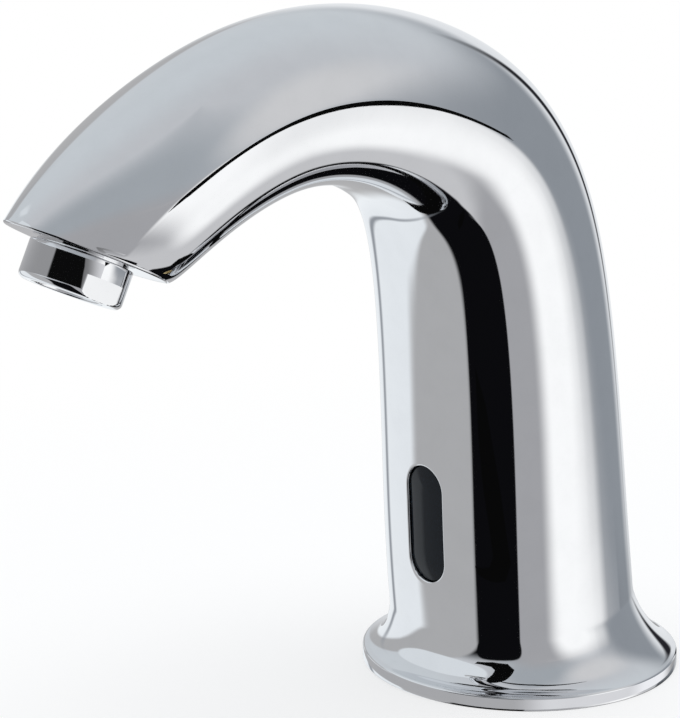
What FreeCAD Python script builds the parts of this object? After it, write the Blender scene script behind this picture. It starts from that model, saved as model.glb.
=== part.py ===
"""Sensor tap, in millimetres.

The origin is the centre of the foot on the deck plane. +Z points up, the spout points towards -Y,
and the tap is the same on both sides of the YZ plane.
"""

import FreeCAD
import Part

import math
import os

Vector = FreeCAD.Vector
os.makedirs("parts", exist_ok=True)

# ---------------------------------------------------------------- fits
FIT_GAP = 0.05          # radial clearance of a thread or a sliding fit
SEAT_GAP = 0.05         # axial clearance between pieces that turn against each other

# ---------------------------------------------------------------- casting: line and sections
# Poles of the cubic line through the middle of the casting: (forward, up).
LINE = [(0.0, 0.0), (1.0, 10.5), (4.0, 29.0), (9.5, 106.0), (31.0, 127.5), (77.0, 140.1),
        (113.3, 119.9), (118.8, 108.4)]
# Half width, height above the line and depth below it, at the same poles. "Above" is the back of
# the column and the top of the spout; "below" is the front of the column and the spout's underside.
HALF_WIDTH = [26.0, 26.5, 27.0, 25.0, 23.5, 21.2, 21.0, 13.4]
OUTER_HEIGHT = [26.0, 26.0, 25.0, 22.5, 20.5, 14.2, 9.3, 16.6]
INNER_DEPTH = [26.0, 26.0, 25.5, 22.5, 19.5, 18.2, 20.2, 18.4]
COLUMN_SQUARENESS = 2.45    # exponent of the front half of the section, 2 is an ellipse
SPOUT_SQUARENESS = 2.6      # exponent of the underside of the spout
CREASE_ANGLE = 68.0         # half angle of the arc that crowns the top of the spout
CREASE_START = 0.35         # place along the line where the crease begins, 0 foot to 1 tip
CREASE_FULL = 0.75          # place along the line where the crease is fully formed

WALL = 3.0
FLANGE_RADIUS = 35.0
FLANGE_RIM = 3.2            # height of the upright rim
RIM_ROUND = 1.2
FLARE_TOP = 15.5            # where the flare runs out into the column
FLARE_LOW = 5.5             # lower it is, the flatter the flare meets the rim
FLARE_SUNK = 0.15           # how far the flare's edge runs down into the rim

WEB_BOTTOM = 74.0           # floor between the dry column and the water way
WEB_TOP = 80.0
WATERWAY_END = 0.925        # place along the line where the water way stops

# ---------------------------------------------------------------- aerator
AERATOR_TILT = 25.5         # degrees from straight down, towards the front
AERATOR_OFFSET = -1.2       # from the end of the line towards the tip
AERATOR_RADIUS = 10.25
AERATOR_NECK = 0.8          # thread that shows between spout and ring
AERATOR_HEIGHT = 7.4
AERATOR_ROUND = 1.3
AERATOR_THREAD_RADIUS = 9.0
AERATOR_THREAD_LENGTH = 7.0
AERATOR_SEAL_THICKNESS = 1.9
AERATOR_NECK_WALL = 1.4
AERATOR_LIP = 1.5           # height of the lip that holds the insert
AERATOR_LIP_WIDTH = 0.8
FLAT_ACROSS = 18.5          # wrench flats
FLAT_HEIGHT = 4.2
OUTLET_BORE_RADIUS = 6.0
OUTLET_BORE_DEPTH = 14.0    # from the seat into the water way
SCREEN_THICKNESS = 0.6
SCREEN_HOLE_RADIUS = 0.6
SCREEN_HOLE_PITCH = 1.9
JET_FLOOR = 1.5
JET_HOLE_RADIUS = 0.9
JET_HOLE_PITCH = 2.6
INSERT_WALL = 1.2

# ---------------------------------------------------------------- sensor window and module
WINDOW_HEIGHT_CENTRE = 36.5
WINDOW_WIDTH = 10.5
WINDOW_LENGTH = 26.2
WINDOW_GAP = 0.15
WINDOW_RECESS = 0.4         # glass below the surface of the column
POCKET_MARGIN = 3.6         # flat seat milled round the opening inside the wall
GASKET_THICKNESS = 0.8
GLASS_FLANGE_MARGIN = 2.4
GLASS_FLANGE_THICKNESS = 1.2
CASE_WIDTH = 23.0
CASE_HEIGHT = 36.0
CASE_DEPTH = 9.0
CASE_WALL = 1.4
POST_SIZE = 3.4
BOARD_DEPTH = 6.0           # from the front of the case to the front of the board
BOARD_THICKNESS = 1.6
LED_RADIUS = 2.5
LED_LENGTH = 4.6
LED_SPACING = 8.0
STATUS_RADIUS = 1.0
STATUS_LENGTH = 3.0
STATUS_ABOVE = 4.6          # status lamp above the emitter
LAMP_COLLAR = 1.0
LAMP_COLLAR_MARGIN = 0.3
DIVIDER_THICKNESS = 1.2
COVER_THICKNESS = 1.5
SOCKET_WIDTH = 8.0          # socket for the sensor's lead
SOCKET_DEPTH = 3.0
SOCKET_HEIGHT = 6.0
SOCKET_WALL = 1.0
SOCKET_DOWN = 10.0
LEDGE = 1.2
LEDGE_LENGTH = 12.0
CASE_SCREW_RADIUS = 0.9
CASE_SCREW_HEAD_RADIUS = 1.6
CASE_SCREW_HEAD = 1.1
CASE_SCREW_LENGTH = 6.0
SCREW_CLEARANCE = 0.1
BRACKET_WIDTH = 10.0
BRACKET_THICKNESS = 1.2
BRACKET_REACH = 10.0        # how far the strip runs down the cover
BRACKET_STEP = 3.5          # from the cover's back forward to the strip's foot
BRACKET_EDGE_GAP = 0.6
BRACKET_BOSS_RADIUS = 4.0
BRACKET_BOSS_ABOVE = 6.5    # from the top of the case to the boss's centre
BRACKET_SCREW_RADIUS = 2.0
BRACKET_SCREW_LENGTH = 8.0
BRACKET_SCREW_HEAD_RADIUS = 3.6
BRACKET_SCREW_HEAD = 2.2
DRIVE_WIDTH = 0.8           # slots in the screw heads
DRIVE_DEPTH = 1.2

# ---------------------------------------------------------------- supply
TAIL_BACK = -2.0            # centre of the tail, back from the foot's centre
TAIL_RADIUS = 5.0
TAIL_BORE_RADIUS = 3.6
TAIL_BOTTOM = -70.0
TAIL_END_RADIUS = 8.33      # G3/8 pipe thread
TAIL_END_LENGTH = 13.0
TAIL_THREAD_RADIUS = 6.0
TAIL_THREAD_LENGTH = 12.0
TAIL_COLLAR = 2.0
TAIL_CHAMFER = 1.0
TAIL_HEX = 14.0
TAIL_HEX_LENGTH = 5.0
INLET_BOSS_BOTTOM = 62.0
INLET_BOSS_WALL = 2.3
SEAL_SECTION = 0.8          # radius of the O-ring's section
SEAL_GAP = 0.3              # room for the O-ring on either side

# ---------------------------------------------------------------- foot and fixing
PLATE_RADIUS = 28.0
PLATE_THICKNESS = 3.0
PLATE_GAP = 0.1
GASKET_INSET = 1.8          # metal between the plate's recess and the gasket's groove
GASKET_WIDTH = 2.6
GASKET_GROOVE_DEPTH = 1.6
LUG_RADIUS = 4.5
LUG_ASIDE = 21.0
LUG_TOP = 14.0
PLATE_SCREW_RADIUS = 1.5
PLATE_SCREW_LENGTH = 8.0
PLATE_SCREW_HEAD_RADIUS = 2.8
PLATE_SCREW_HEAD = 1.7
SCREW_HOLE_SPARE = 1.0      # depth that a screw's hole has to spare
GROMMET_FORWARD = 16.5
GROMMET_RADIUS = 3.6
GROMMET_FLANGE_RADIUS = 5.0
GROMMET_FLANGE = 1.2
LEAD_RADIUS = 2.0

STUD_BACK = 13.5
STUD_RADIUS = 4.0
STUD_ENGAGED = 18.0
STUD_BOTTOM = -50.0
STUD_CHAMFER = 0.8
STUD_BOSS_RADIUS = 7.5
STUD_BOSS_HEIGHT = 20.0
STUD_RIB = 12.0             # width of the rib behind the boss
STUD_NUT_ACROSS = 13.0
STUD_LOCKNUT_HEIGHT = 4.0
LOCKNUT_ROOM = 1.0          # between the locknut and the base plate
STUD_NUT_HEIGHT = 6.5

DECK_THICKNESS = 20.0       # deck that the clamp is drawn at
CLAMP_RADIUS = 24.0
CLAMP_SLOT_GAP = 0.9        # beside the tail's thread
CLAMP_HOLE_GAP = 0.3
CLAMP_RUBBER = 3.0
CLAMP_STEEL = 2.5
WASHER_RADIUS = 8.0
WASHER_THICKNESS = 1.6

# ---------------------------------------------------------------- sizes that follow
AERATOR_SEAT_DEPTH = AERATOR_THREAD_LENGTH + AERATOR_SEAL_THICKNESS + 2 * SEAT_GAP
AERATOR_BORE_RADIUS = AERATOR_THREAD_RADIUS - AERATOR_NECK_WALL
AERATOR_LIP_RADIUS = AERATOR_BORE_RADIUS - AERATOR_LIP_WIDTH
SEAL_MIDDLE_RADIUS = TAIL_THREAD_RADIUS + SEAL_GAP + SEAL_SECTION
SEAL_RECESS_RADIUS = SEAL_MIDDLE_RADIUS + SEAL_SECTION + SEAL_GAP
TAIL_COLLAR_RADIUS = SEAL_RECESS_RADIUS + INLET_BOSS_WALL / 2
INLET_BOSS_RADIUS = SEAL_RECESS_RADIUS + INLET_BOSS_WALL
GASKET_GROOVE_IN = PLATE_RADIUS + GASKET_INSET
GASKET_GROOVE_OUT = GASKET_GROOVE_IN + GASKET_WIDTH
STUD_BOSS_BOTTOM = PLATE_THICKNESS + LOCKNUT_ROOM + STUD_LOCKNUT_HEIGHT
STUD_TOP = STUD_BOSS_BOTTOM + STUD_ENGAGED
CLAMP_SLOT_RADIUS = TAIL_END_RADIUS + CLAMP_SLOT_GAP
RUBBER_TOP = -DECK_THICKNESS
STEEL_TOP = RUBBER_TOP - CLAMP_RUBBER
WASHER_TOP = STEEL_TOP - CLAMP_STEEL
NUT_TOP = WASHER_TOP - WASHER_THICKNESS

# depths of the sensor module's layers, measured into the column from its surface at the window
GLASS_SEAT = WALL + GASKET_THICKNESS
CASE_FRONT = GLASS_SEAT + GLASS_FLANGE_THICKNESS
CASE_BACK = CASE_FRONT + CASE_DEPTH
COVER_BACK = CASE_BACK + COVER_THICKNESS
BOARD_FRONT = CASE_FRONT + BOARD_DEPTH
BOARD_BACK = BOARD_FRONT + BOARD_THICKNESS
BRACKET_FOOT = COVER_BACK - BRACKET_STEP
BOSS_HEIGHT = CASE_HEIGHT / 2 + BRACKET_BOSS_ABOVE
CASE_INNER_WIDTH = CASE_WIDTH - 2 * CASE_WALL
CASE_INNER_HEIGHT = CASE_HEIGHT - 2 * CASE_WALL
POST_ASIDE = (CASE_INNER_WIDTH - POST_SIZE) / 2
POST_UP = (CASE_INNER_HEIGHT - POST_SIZE) / 2


# ---------------------------------------------------------------- small helpers
def save(name, shape):
    """Write one node; a list of solids becomes a group."""
    if isinstance(shape, list):
        shape = Part.makeCompound(shape)
    solids = shape.Solids
    print("%-20s %d solid(s) %10.1f mm3 %s" % (name, len(solids), shape.Volume, shape.isValid()))
    shape = solids[0] if len(solids) == 1 else Part.makeCompound(solids)
    shape.exportStep("parts/%s.step" % name)


def rod(radius, low, high, x=0.0, y=0.0):
    """Upright cylinder between two heights."""
    return Part.makeCylinder(radius, high - low, Vector(x, y, low))


def box(x_low, x_high, y_low, y_high, z_low, z_high):
    return Part.makeBox(x_high - x_low, y_high - y_low, z_high - z_low, Vector(x_low, y_low, z_low))


def hexagon(across, low, high, x=0.0, y=0.0):
    """Upright hexagonal prism with bevelled corners."""
    corner = across / math.sqrt(3)
    points = []
    for turn in range(7):
        angle = math.radians(60 * turn + 30)
        points.append(Vector(x + corner * math.cos(angle), y + corner * math.sin(angle), low))
    prism = Part.Face(Part.makePolygon(points)).extrude(Vector(0, 0, high - low))
    height = high - low
    bevel = (corner - across / 2) * math.tan(math.radians(30))
    round_top = turned([(0, low), (across / 2, low), (corner, low + bevel), (corner, high - bevel),
                        (across / 2, high), (0, high)], x, y)
    return prism.common(round_top) if height > 2 * bevel else prism


def turned(profile, x=0.0, y=0.0):
    """Solid of revolution about an upright axis, from (radius, height) points."""
    points = [Vector(x + radius, y, height) for radius, height in profile]
    face = Part.Face(Part.makePolygon(points + points[:1]))
    return face.revolve(Vector(x, y, 0), Vector(0, 0, 1), 360)


def stadium(width, length, low, high):
    """Slot-shaped prism, long along the second axis, standing on the third."""
    radius = width / 2
    straight = length / 2 - radius
    a, b = Vector(radius, -straight, low), Vector(radius, straight, low)
    c, d = Vector(-radius, straight, low), Vector(-radius, -straight, low)
    edges = [Part.makeLine(a, b), Part.Arc(b, Vector(0, straight + radius, low), c).toShape(),
             Part.makeLine(c, d), Part.Arc(d, Vector(0, -straight - radius, low), a).toShape()]
    return Part.Face(Part.Wire(edges)).extrude(Vector(0, 0, high - low))


def even(start, end, count):
    return [start + (end - start) * index / (count - 1) for index in range(count)]


def cut_all(shape, tools):
    for tool in tools:
        shape = shape.cut(tool)
    return shape


# ---------------------------------------------------------------- the casting's line and sections
def cubic(poles):
    """Clamped cubic B-spline with evenly spaced knots from 0 to 1."""
    spans = len(poles) - 3
    knots = [index / spans for index in range(spans + 1)]
    repeats = [4] + [1] * (spans - 1) + [4]
    curve = Part.BSplineCurve()
    curve.buildFromPolesMultsKnots(poles, repeats, knots, False, 3)
    return curve


line = cubic([Vector(0, -forward, up) for forward, up in LINE])
sizes = cubic([Vector(w, h, d) for w, h, d in zip(HALF_WIDTH, OUTER_HEIGHT, INNER_DEPTH)])


def ease(value, start, end):
    """0 before start, 1 after end, smooth between."""
    share = min(max((value - start) / (end - start), 0.0), 1.0)
    return share * share * (3 - 2 * share)


def section_axes(place):
    """Point on the line, its direction, and the direction of "above" there."""
    direction = line.tangent(place)[0]
    above = Vector(0, direction.z, -direction.y)
    return line.value(place), direction, above


def section_point(place, angle, inset=0.0):
    """Point of the section's outline; angle 0 is the +X side, 90 degrees is above."""
    size = sizes.value(place)
    half, high, deep = size.x - inset, size.y - inset, size.z - inset
    formed = ease(place, CREASE_START, CREASE_FULL)
    if angle <= math.pi:
        edge = math.radians(90 + (CREASE_ANGLE - 90) * formed)
        swing = edge * (1 - 2 * angle / math.pi)
        aside = half * math.sin(swing) / math.sin(edge)
        rise = high * (math.cos(swing) - math.cos(edge)) / (1 - math.cos(edge))
    else:
        squareness = COLUMN_SQUARENESS + (SPOUT_SQUARENESS - COLUMN_SQUARENESS) * formed
        power = 2 / squareness
        cosine, sine = math.cos(angle), math.sin(angle)
        aside = half * math.copysign(abs(cosine) ** power, cosine)
        rise = -deep * abs(sine) ** power
    return aside, rise


def two_curve_wire(point_at, points=9):
    """Closed outline from a function of the angle, in two curves that meet at the creases."""
    curves = []
    for start in (0.0, math.pi):
        angles = even(start, start + math.pi, points)
        curve = Part.BSplineCurve()
        curve.interpolate([point_at(angle) for angle in angles])
        curves.append(curve.toShape())
    return Part.Wire(curves)


def skin_point(place, angle, inset=0.0):
    """Point on the casting's surface, or inset from it."""
    middle, _, above = section_axes(place)
    aside, rise = section_point(place, angle, inset)
    return middle + Vector(aside, 0, 0) + above * rise


def loft(places, inset=0.0):
    """Solid through the casting's sections at some places along the line."""
    wires = [two_curve_wire(lambda angle: skin_point(place, angle, inset)) for place in places]
    return Part.makeLoft(wires, True, False)


def place_at_height(height):
    """Place along the line at which it reaches a height in the column."""
    low, high = 0.0, 0.5
    for _ in range(40):
        middle = (low + high) / 2
        if line.value(middle).z < height:
            low = middle
        else:
            high = middle
    return (low + high) / 2


# ---------------------------------------------------------------- frames of the aerator and the window
def aerator_placement():
    """Local +Z runs along the aerator's axis out of the spout; the origin is on the end face."""
    tilt = math.radians(AERATOR_TILT)
    end = line.value(1.0)
    towards_tip = Vector(0, -math.cos(tilt), math.sin(tilt))
    origin = end + towards_tip * AERATOR_OFFSET
    turn = FreeCAD.Rotation(Vector(1, 0, 0), 180 - AERATOR_TILT)
    return FreeCAD.Placement(origin, turn)


def front_point(height):
    """Point on the front of the column, in the plane of symmetry."""
    place = place_at_height(height)
    for _ in range(6):
        middle, _, above = section_axes(place)
        point = middle - above * sizes.value(place).z
        place = place_at_height(middle.z + height - point.z)
    return point


def window_placement():
    """Local +Y runs up the front of the column and +Z runs into it."""
    low = front_point(WINDOW_HEIGHT_CENTRE - WINDOW_LENGTH / 2)
    high = front_point(WINDOW_HEIGHT_CENTRE + WINDOW_LENGTH / 2)
    lean = math.atan2(low.y - high.y, high.z - low.z)
    up = Vector(0, -math.sin(lean), math.cos(lean))
    inward = Vector(0, math.cos(lean), math.sin(lean))
    turn = FreeCAD.Rotation(up.cross(inward), up, inward, "YZX")
    return FreeCAD.Placement(front_point(WINDOW_HEIGHT_CENTRE), turn)


AERATOR_FRAME = aerator_placement()
WINDOW_FRAME = window_placement()


def placed(shape, frame):
    moved = shape.copy()
    moved.Placement = frame.multiply(shape.Placement)
    return moved


# ---------------------------------------------------------------- spout body
def flare_point(share, angle):
    """Point on the flare: share 0 is where it leaves the column, 1 is on the rim's round edge.

    It slides down the column while it is drawn, ever faster, towards the rim.
    """
    place = place_at_height(FLARE_TOP - (FLARE_TOP - FLARE_LOW) * share)
    rim_radius = FLANGE_RADIUS - RIM_ROUND
    rim_height = FLANGE_RIM - FLARE_SUNK
    on_rim = Vector(rim_radius * math.cos(angle), rim_radius * math.sin(angle), rim_height)
    flow = share * share
    return skin_point(place, angle) * (1 - flow) + on_rim * flow


def outer_skin():
    """The casting without its hollows: column and spout, flare and rim."""
    tube = loft(even(place_at_height(FLARE_TOP), 1.0, 17))
    wires = [two_curve_wire(lambda angle: flare_point(share, angle)) for share in even(0.0, 1.0, 7)]
    flare = Part.makeLoft(wires, True, False)
    return tube.fuse([flare, rim()]).removeSplitter()


def rim():
    disc = rod(FLANGE_RADIUS, 0, FLANGE_RIM)
    top_edge = [edge for edge in disc.Edges if abs(edge.BoundBox.ZMin - FLANGE_RIM) < 1e-6]
    return disc.makeFillet(RIM_ROUND, top_edge)


def inside_features():
    """Bosses and lugs that stand in the hollow of the column, run on through its wall."""
    reach = 2 * FLANGE_RADIUS
    boss_top = STUD_BOSS_BOTTOM + STUD_BOSS_HEIGHT
    features = [rod(STUD_BOSS_RADIUS, STUD_BOSS_BOTTOM, boss_top, 0, STUD_BACK),
                box(-STUD_RIB / 2, STUD_RIB / 2, STUD_BACK, reach, STUD_BOSS_BOTTOM, boss_top),
                rod(INLET_BOSS_RADIUS, INLET_BOSS_BOTTOM, WEB_TOP, 0, TAIL_BACK)]
    for side in (-1, 1):
        features.append(rod(LUG_RADIUS, PLATE_THICKNESS, LUG_TOP, side * LUG_ASIDE, 0))
    bracket_boss = Part.makeCylinder(BRACKET_BOSS_RADIUS, BRACKET_FOOT, Vector(0, BOSS_HEIGHT, 0))
    return features + [placed(bracket_boss, WINDOW_FRAME)]


def hollows():
    """Dry hollow of the column, open at the foot, and the water way above it."""
    reach = 4 * FLANGE_RADIUS
    below_web = box(-reach, reach, -reach, reach, -reach, WEB_BOTTOM)
    above_web = box(-reach, reach, -reach, reach, WEB_TOP, 2 * reach)
    column = loft(even(0.0, 0.6, 11), WALL).common(below_web)
    water_way = loft(even(0.2, WATERWAY_END, 13), WALL).common(above_web)
    return [cut_all(column, inside_features()), water_way]


def foot_cuts():
    """Recess for the base plate, groove for the gasket, and the holes seen from below."""
    groove_ring = rod(GASKET_GROOVE_OUT, -1, GASKET_GROOVE_DEPTH)
    seal_top = INLET_BOSS_BOTTOM + 2 * SEAL_SECTION
    cuts = [rod(PLATE_RADIUS, -1, PLATE_THICKNESS),
            groove_ring.cut(rod(GASKET_GROOVE_IN, -1, GASKET_GROOVE_DEPTH)),
            rod(SEAL_RECESS_RADIUS, INLET_BOSS_BOTTOM - 1, seal_top, 0, TAIL_BACK),
            rod(TAIL_THREAD_RADIUS, INLET_BOSS_BOTTOM - 1, WEB_TOP + 1, 0, TAIL_BACK),
            rod(STUD_RADIUS, STUD_BOSS_BOTTOM - 1, STUD_TOP + SCREW_HOLE_SPARE, 0, STUD_BACK)]
    for side in (-1, 1):
        hole_top = PLATE_SCREW_LENGTH + SCREW_HOLE_SPARE
        cuts.append(rod(PLATE_SCREW_RADIUS, PLATE_THICKNESS - 1, hole_top, side * LUG_ASIDE, 0))
    return cuts


def aerator_cuts():
    """Threaded socket in the spout's end and the way from the water way to it."""
    way_top = -AERATOR_SEAT_DEPTH - OUTLET_BORE_DEPTH
    return [rod(AERATOR_THREAD_RADIUS + FIT_GAP, -AERATOR_SEAT_DEPTH, AERATOR_NECK),
            rod(OUTLET_BORE_RADIUS, way_top, 0)]


def window_cuts():
    """Opening for the window, the flat seat milled behind it and the bracket's screw hole."""
    margin = 2 * POCKET_MARGIN
    hole_end = BRACKET_FOOT + BRACKET_THICKNESS - BRACKET_SCREW_LENGTH - SCREW_HOLE_SPARE
    return [stadium(WINDOW_WIDTH, WINDOW_LENGTH, -WALL, 2 * WALL),
            stadium(WINDOW_WIDTH + margin, WINDOW_LENGTH + margin, WALL, CASE_FRONT),
            rod(BRACKET_SCREW_RADIUS, hole_end, BRACKET_FOOT + 1, 0, BOSS_HEIGHT)]


def spout_body():
    body = cut_all(outer_skin(), hollows() + foot_cuts())
    body = cut_all(body, [placed(cut, AERATOR_FRAME) for cut in aerator_cuts()])
    return cut_all(body, [placed(cut, WINDOW_FRAME) for cut in window_cuts()])


# ---------------------------------------------------------------- aerator
def aerator_housing():
    """Ring with a threaded neck, a rounded lower edge and two wrench flats."""
    ring_top = AERATOR_NECK
    ring_bottom = AERATOR_NECK + AERATOR_HEIGHT
    ring = rod(AERATOR_RADIUS, ring_top, ring_bottom)
    lower_edge = [edge for edge in ring.Edges if abs(edge.BoundBox.ZMin - ring_bottom) < 1e-6]
    ring = ring.makeFillet(AERATOR_ROUND, lower_edge)
    reach = 2 * AERATOR_RADIUS
    flat_top = ring_bottom - FLAT_HEIGHT
    for side in (-1, 1):
        near, far = sorted((side * FLAT_ACROSS / 2, side * reach))
        ring = ring.cut(box(near, far, -reach, reach, flat_top, ring_bottom + 1))
    neck = rod(AERATOR_THREAD_RADIUS, -AERATOR_THREAD_LENGTH, ring_top + 1)
    bore = rod(AERATOR_BORE_RADIUS, -AERATOR_THREAD_LENGTH - 1, ring_bottom - AERATOR_LIP)
    mouth = rod(AERATOR_LIP_RADIUS, 0, ring_bottom + 1)
    return ring.fuse(neck).cut(bore).cut(mouth).removeSplitter()


def aerator_layers():
    """Heights along the aerator's axis of the pieces that sit in the housing."""
    screen_top = -AERATOR_THREAD_LENGTH - SEAT_GAP
    screen_bottom = screen_top + SCREEN_THICKNESS
    insert_bottom = AERATOR_NECK + AERATOR_HEIGHT - AERATOR_LIP - SEAT_GAP
    return screen_top, screen_bottom, insert_bottom


def holes_in_rings(radius, pitch, rings, low, high):
    """One hole in the middle and six more in each ring round it."""
    holes = [rod(radius, low, high)]
    for ring in range(1, rings + 1):
        for index in range(6 * ring):
            angle = math.radians(60.0 * index / ring)
            x, y = ring * pitch * math.cos(angle), ring * pitch * math.sin(angle)
            holes.append(rod(radius, low, high, x, y))
    return holes


def aerator_screen():
    top, bottom, _ = aerator_layers()
    disc = rod(AERATOR_BORE_RADIUS - 2 * FIT_GAP, top, bottom)
    return disc.cut(holes_in_rings(SCREEN_HOLE_RADIUS, SCREEN_HOLE_PITCH, 3, top - 1, bottom + 1))


def aerator_insert():
    """Cup with a floor of round jets."""
    _, top, bottom = aerator_layers()
    outer = AERATOR_BORE_RADIUS - 2 * FIT_GAP
    cup = rod(outer, top, bottom).cut(rod(outer - INSERT_WALL, top - 1, bottom - JET_FLOOR))
    jets = holes_in_rings(JET_HOLE_RADIUS, JET_HOLE_PITCH, 2, bottom - JET_FLOOR - 1, bottom + 1)
    return cup.cut(jets)


def aerator_seal():
    top = -AERATOR_SEAT_DEPTH + SEAT_GAP
    bottom = -AERATOR_THREAD_LENGTH - SEAT_GAP
    ring = rod(AERATOR_THREAD_RADIUS - 4 * FIT_GAP, top, bottom)
    return ring.cut(rod(OUTLET_BORE_RADIUS, top - 1, bottom + 1))


# ---------------------------------------------------------------- sensor module
def sensor_window():
    """Slot-shaped glass with a flange that bears on the gasket."""
    gap = 2 * WINDOW_GAP
    margin = 2 * GLASS_FLANGE_MARGIN
    nose = stadium(WINDOW_WIDTH - gap, WINDOW_LENGTH - gap, WINDOW_RECESS, GLASS_SEAT)
    flange = stadium(WINDOW_WIDTH + margin, WINDOW_LENGTH + margin, GLASS_SEAT, CASE_FRONT)
    return nose.fuse(flange).removeSplitter()


def window_gasket():
    gap = 2 * WINDOW_GAP
    margin = 2 * GLASS_FLANGE_MARGIN
    outer = stadium(WINDOW_WIDTH + margin, WINDOW_LENGTH + margin, WALL, GLASS_SEAT)
    return outer.cut(stadium(WINDOW_WIDTH + gap, WINDOW_LENGTH + gap, WALL - 1, GLASS_SEAT + 1))


def block(width, height, low, high, aside=0.0, up=0.0):
    """Box centred on a point of the module's face, between two depths."""
    return box(aside - width / 2, aside + width / 2, up - height / 2, up + height / 2, low, high)


def corners():
    return [(side * POST_ASIDE, end * POST_UP) for side in (-1, 1) for end in (-1, 1)]


def screwed_corners():
    return [(POST_ASIDE, POST_UP), (-POST_ASIDE, -POST_UP)]


def sensor_case():
    """Open-backed box with a slot in front, four posts and two ledges for the board."""
    case = block(CASE_WIDTH, CASE_HEIGHT, CASE_FRONT, CASE_BACK)
    inside_front = CASE_FRONT + CASE_WALL
    case = case.cut(block(CASE_INNER_WIDTH, CASE_INNER_HEIGHT, inside_front, CASE_BACK + 1))
    extras = [block(POST_SIZE, POST_SIZE, CASE_FRONT, CASE_BACK, aside, up) for aside, up in corners()]
    for side in (-1, 1):
        ledge_aside = side * CASE_INNER_WIDTH / 2
        extras.append(block(2 * LEDGE, LEDGE_LENGTH, CASE_FRONT, BOARD_FRONT, ledge_aside))
    case = case.fuse(extras).removeSplitter()
    holes = [stadium(WINDOW_WIDTH, WINDOW_LENGTH, CASE_FRONT - 1, inside_front)]
    hole_end = COVER_BACK - CASE_SCREW_HEAD - CASE_SCREW_LENGTH - SCREW_HOLE_SPARE
    for aside, up in screwed_corners():
        holes.append(rod(CASE_SCREW_RADIUS, hole_end, CASE_BACK + 1, aside, up))
    return cut_all(case, holes)


def sensor_board():
    """Circuit board with a notch round each post."""
    gap = 2 * PLATE_GAP
    board = block(CASE_INNER_WIDTH - gap, CASE_INNER_HEIGHT - gap, BOARD_FRONT, BOARD_BACK)
    notch = POST_SIZE + gap
    return board.cut([block(notch, notch, BOARD_FRONT - 1, BOARD_BACK + 1, aside, up)
                      for aside, up in corners()])


def round_lamp(radius, length, up):
    """Lamp with a collar on the board and a domed front."""
    dome_centre = BOARD_FRONT - length + radius
    ball = Part.makeSphere(radius, Vector(0, up, dome_centre))
    dome = ball.common(block(4 * radius, 4 * radius, dome_centre - 2 * radius, dome_centre, 0, up))
    collar = rod(radius + LAMP_COLLAR_MARGIN, BOARD_FRONT - LAMP_COLLAR, BOARD_FRONT, 0, up)
    return collar.fuse([rod(radius, dome_centre, BOARD_FRONT, 0, up), dome]).removeSplitter()


def beam_divider():
    return block(WINDOW_WIDTH - 4 * WINDOW_GAP, DIVIDER_THICKNESS, CASE_FRONT, BOARD_FRONT)


def sensor_back_cover():
    """Lid with two sunk screw seats and a socket for the lead, open downwards."""
    lid = block(CASE_WIDTH, CASE_HEIGHT, CASE_BACK, COVER_BACK)
    socket_back = COVER_BACK + SOCKET_DEPTH
    socket = block(SOCKET_WIDTH, SOCKET_HEIGHT, COVER_BACK, socket_back, 0, -SOCKET_DOWN)
    mouth = block(SOCKET_WIDTH - 2 * SOCKET_WALL, SOCKET_HEIGHT, COVER_BACK + SOCKET_WALL / 2,
                  socket_back - SOCKET_WALL, 0, -SOCKET_DOWN - SOCKET_WALL)
    lid = lid.fuse(socket).removeSplitter().cut(mouth)
    for aside, up in screwed_corners():
        shank_hole = rod(CASE_SCREW_RADIUS + SCREW_CLEARANCE, CASE_BACK - 1, COVER_BACK + 1, aside, up)
        seat_radius = CASE_SCREW_HEAD_RADIUS + SCREW_CLEARANCE
        lid = lid.cut([shank_hole, rod(seat_radius, COVER_BACK - CASE_SCREW_HEAD, COVER_BACK + 1, aside, up)])
    return lid


def slotted_screw(radius, length, head_radius, head, under_head, aside, up, cross=False):
    """Screw with a flat round head that has one slot or a cross."""
    top = under_head + head
    depth = min(DRIVE_DEPTH, head / 2)
    shank = rod(radius - FIT_GAP, under_head - length, under_head, aside, up)
    screw = shank.fuse(rod(head_radius, under_head, top, aside, up)).removeSplitter()
    if cross:
        slots = [block(DRIVE_WIDTH, 1.2 * head_radius, top - depth, top + 1, aside, up),
                 block(1.2 * head_radius, DRIVE_WIDTH, top - depth, top + 1, aside, up)]
    else:
        slots = [block(3 * head_radius, DRIVE_WIDTH / 2, top - depth, top + 1, aside, up)]
    return screw.cut(slots)


def case_screws():
    return [slotted_screw(CASE_SCREW_RADIUS, CASE_SCREW_LENGTH, CASE_SCREW_HEAD_RADIUS, CASE_SCREW_HEAD,
                          COVER_BACK - CASE_SCREW_HEAD, aside, up) for aside, up in screwed_corners()]


def sensor_bracket():
    """Steel strip: it presses on the lid, steps round its edge and is screwed to its boss."""
    top_of_case = CASE_HEIGHT / 2
    inner = top_of_case + BRACKET_EDGE_GAP
    outer = inner + BRACKET_THICKNESS
    foot_end = BOSS_HEIGHT + BRACKET_BOSS_RADIUS
    press_back = COVER_BACK + BRACKET_THICKNESS
    foot_back = BRACKET_FOOT + BRACKET_THICKNESS
    profile = [(COVER_BACK, top_of_case - BRACKET_REACH), (COVER_BACK, inner), (BRACKET_FOOT, inner),
               (BRACKET_FOOT, foot_end), (foot_back, foot_end), (foot_back, outer), (press_back, outer),
               (press_back, top_of_case - BRACKET_REACH)]
    points = [Vector(-BRACKET_WIDTH / 2, up, depth) for depth, up in profile]
    strip = Part.Face(Part.makePolygon(points + points[:1])).extrude(Vector(BRACKET_WIDTH, 0, 0))
    hole_radius = BRACKET_SCREW_RADIUS + SCREW_CLEARANCE
    return strip.cut(rod(hole_radius, BRACKET_FOOT - 1, foot_back + 1, 0, BOSS_HEIGHT))


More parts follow.
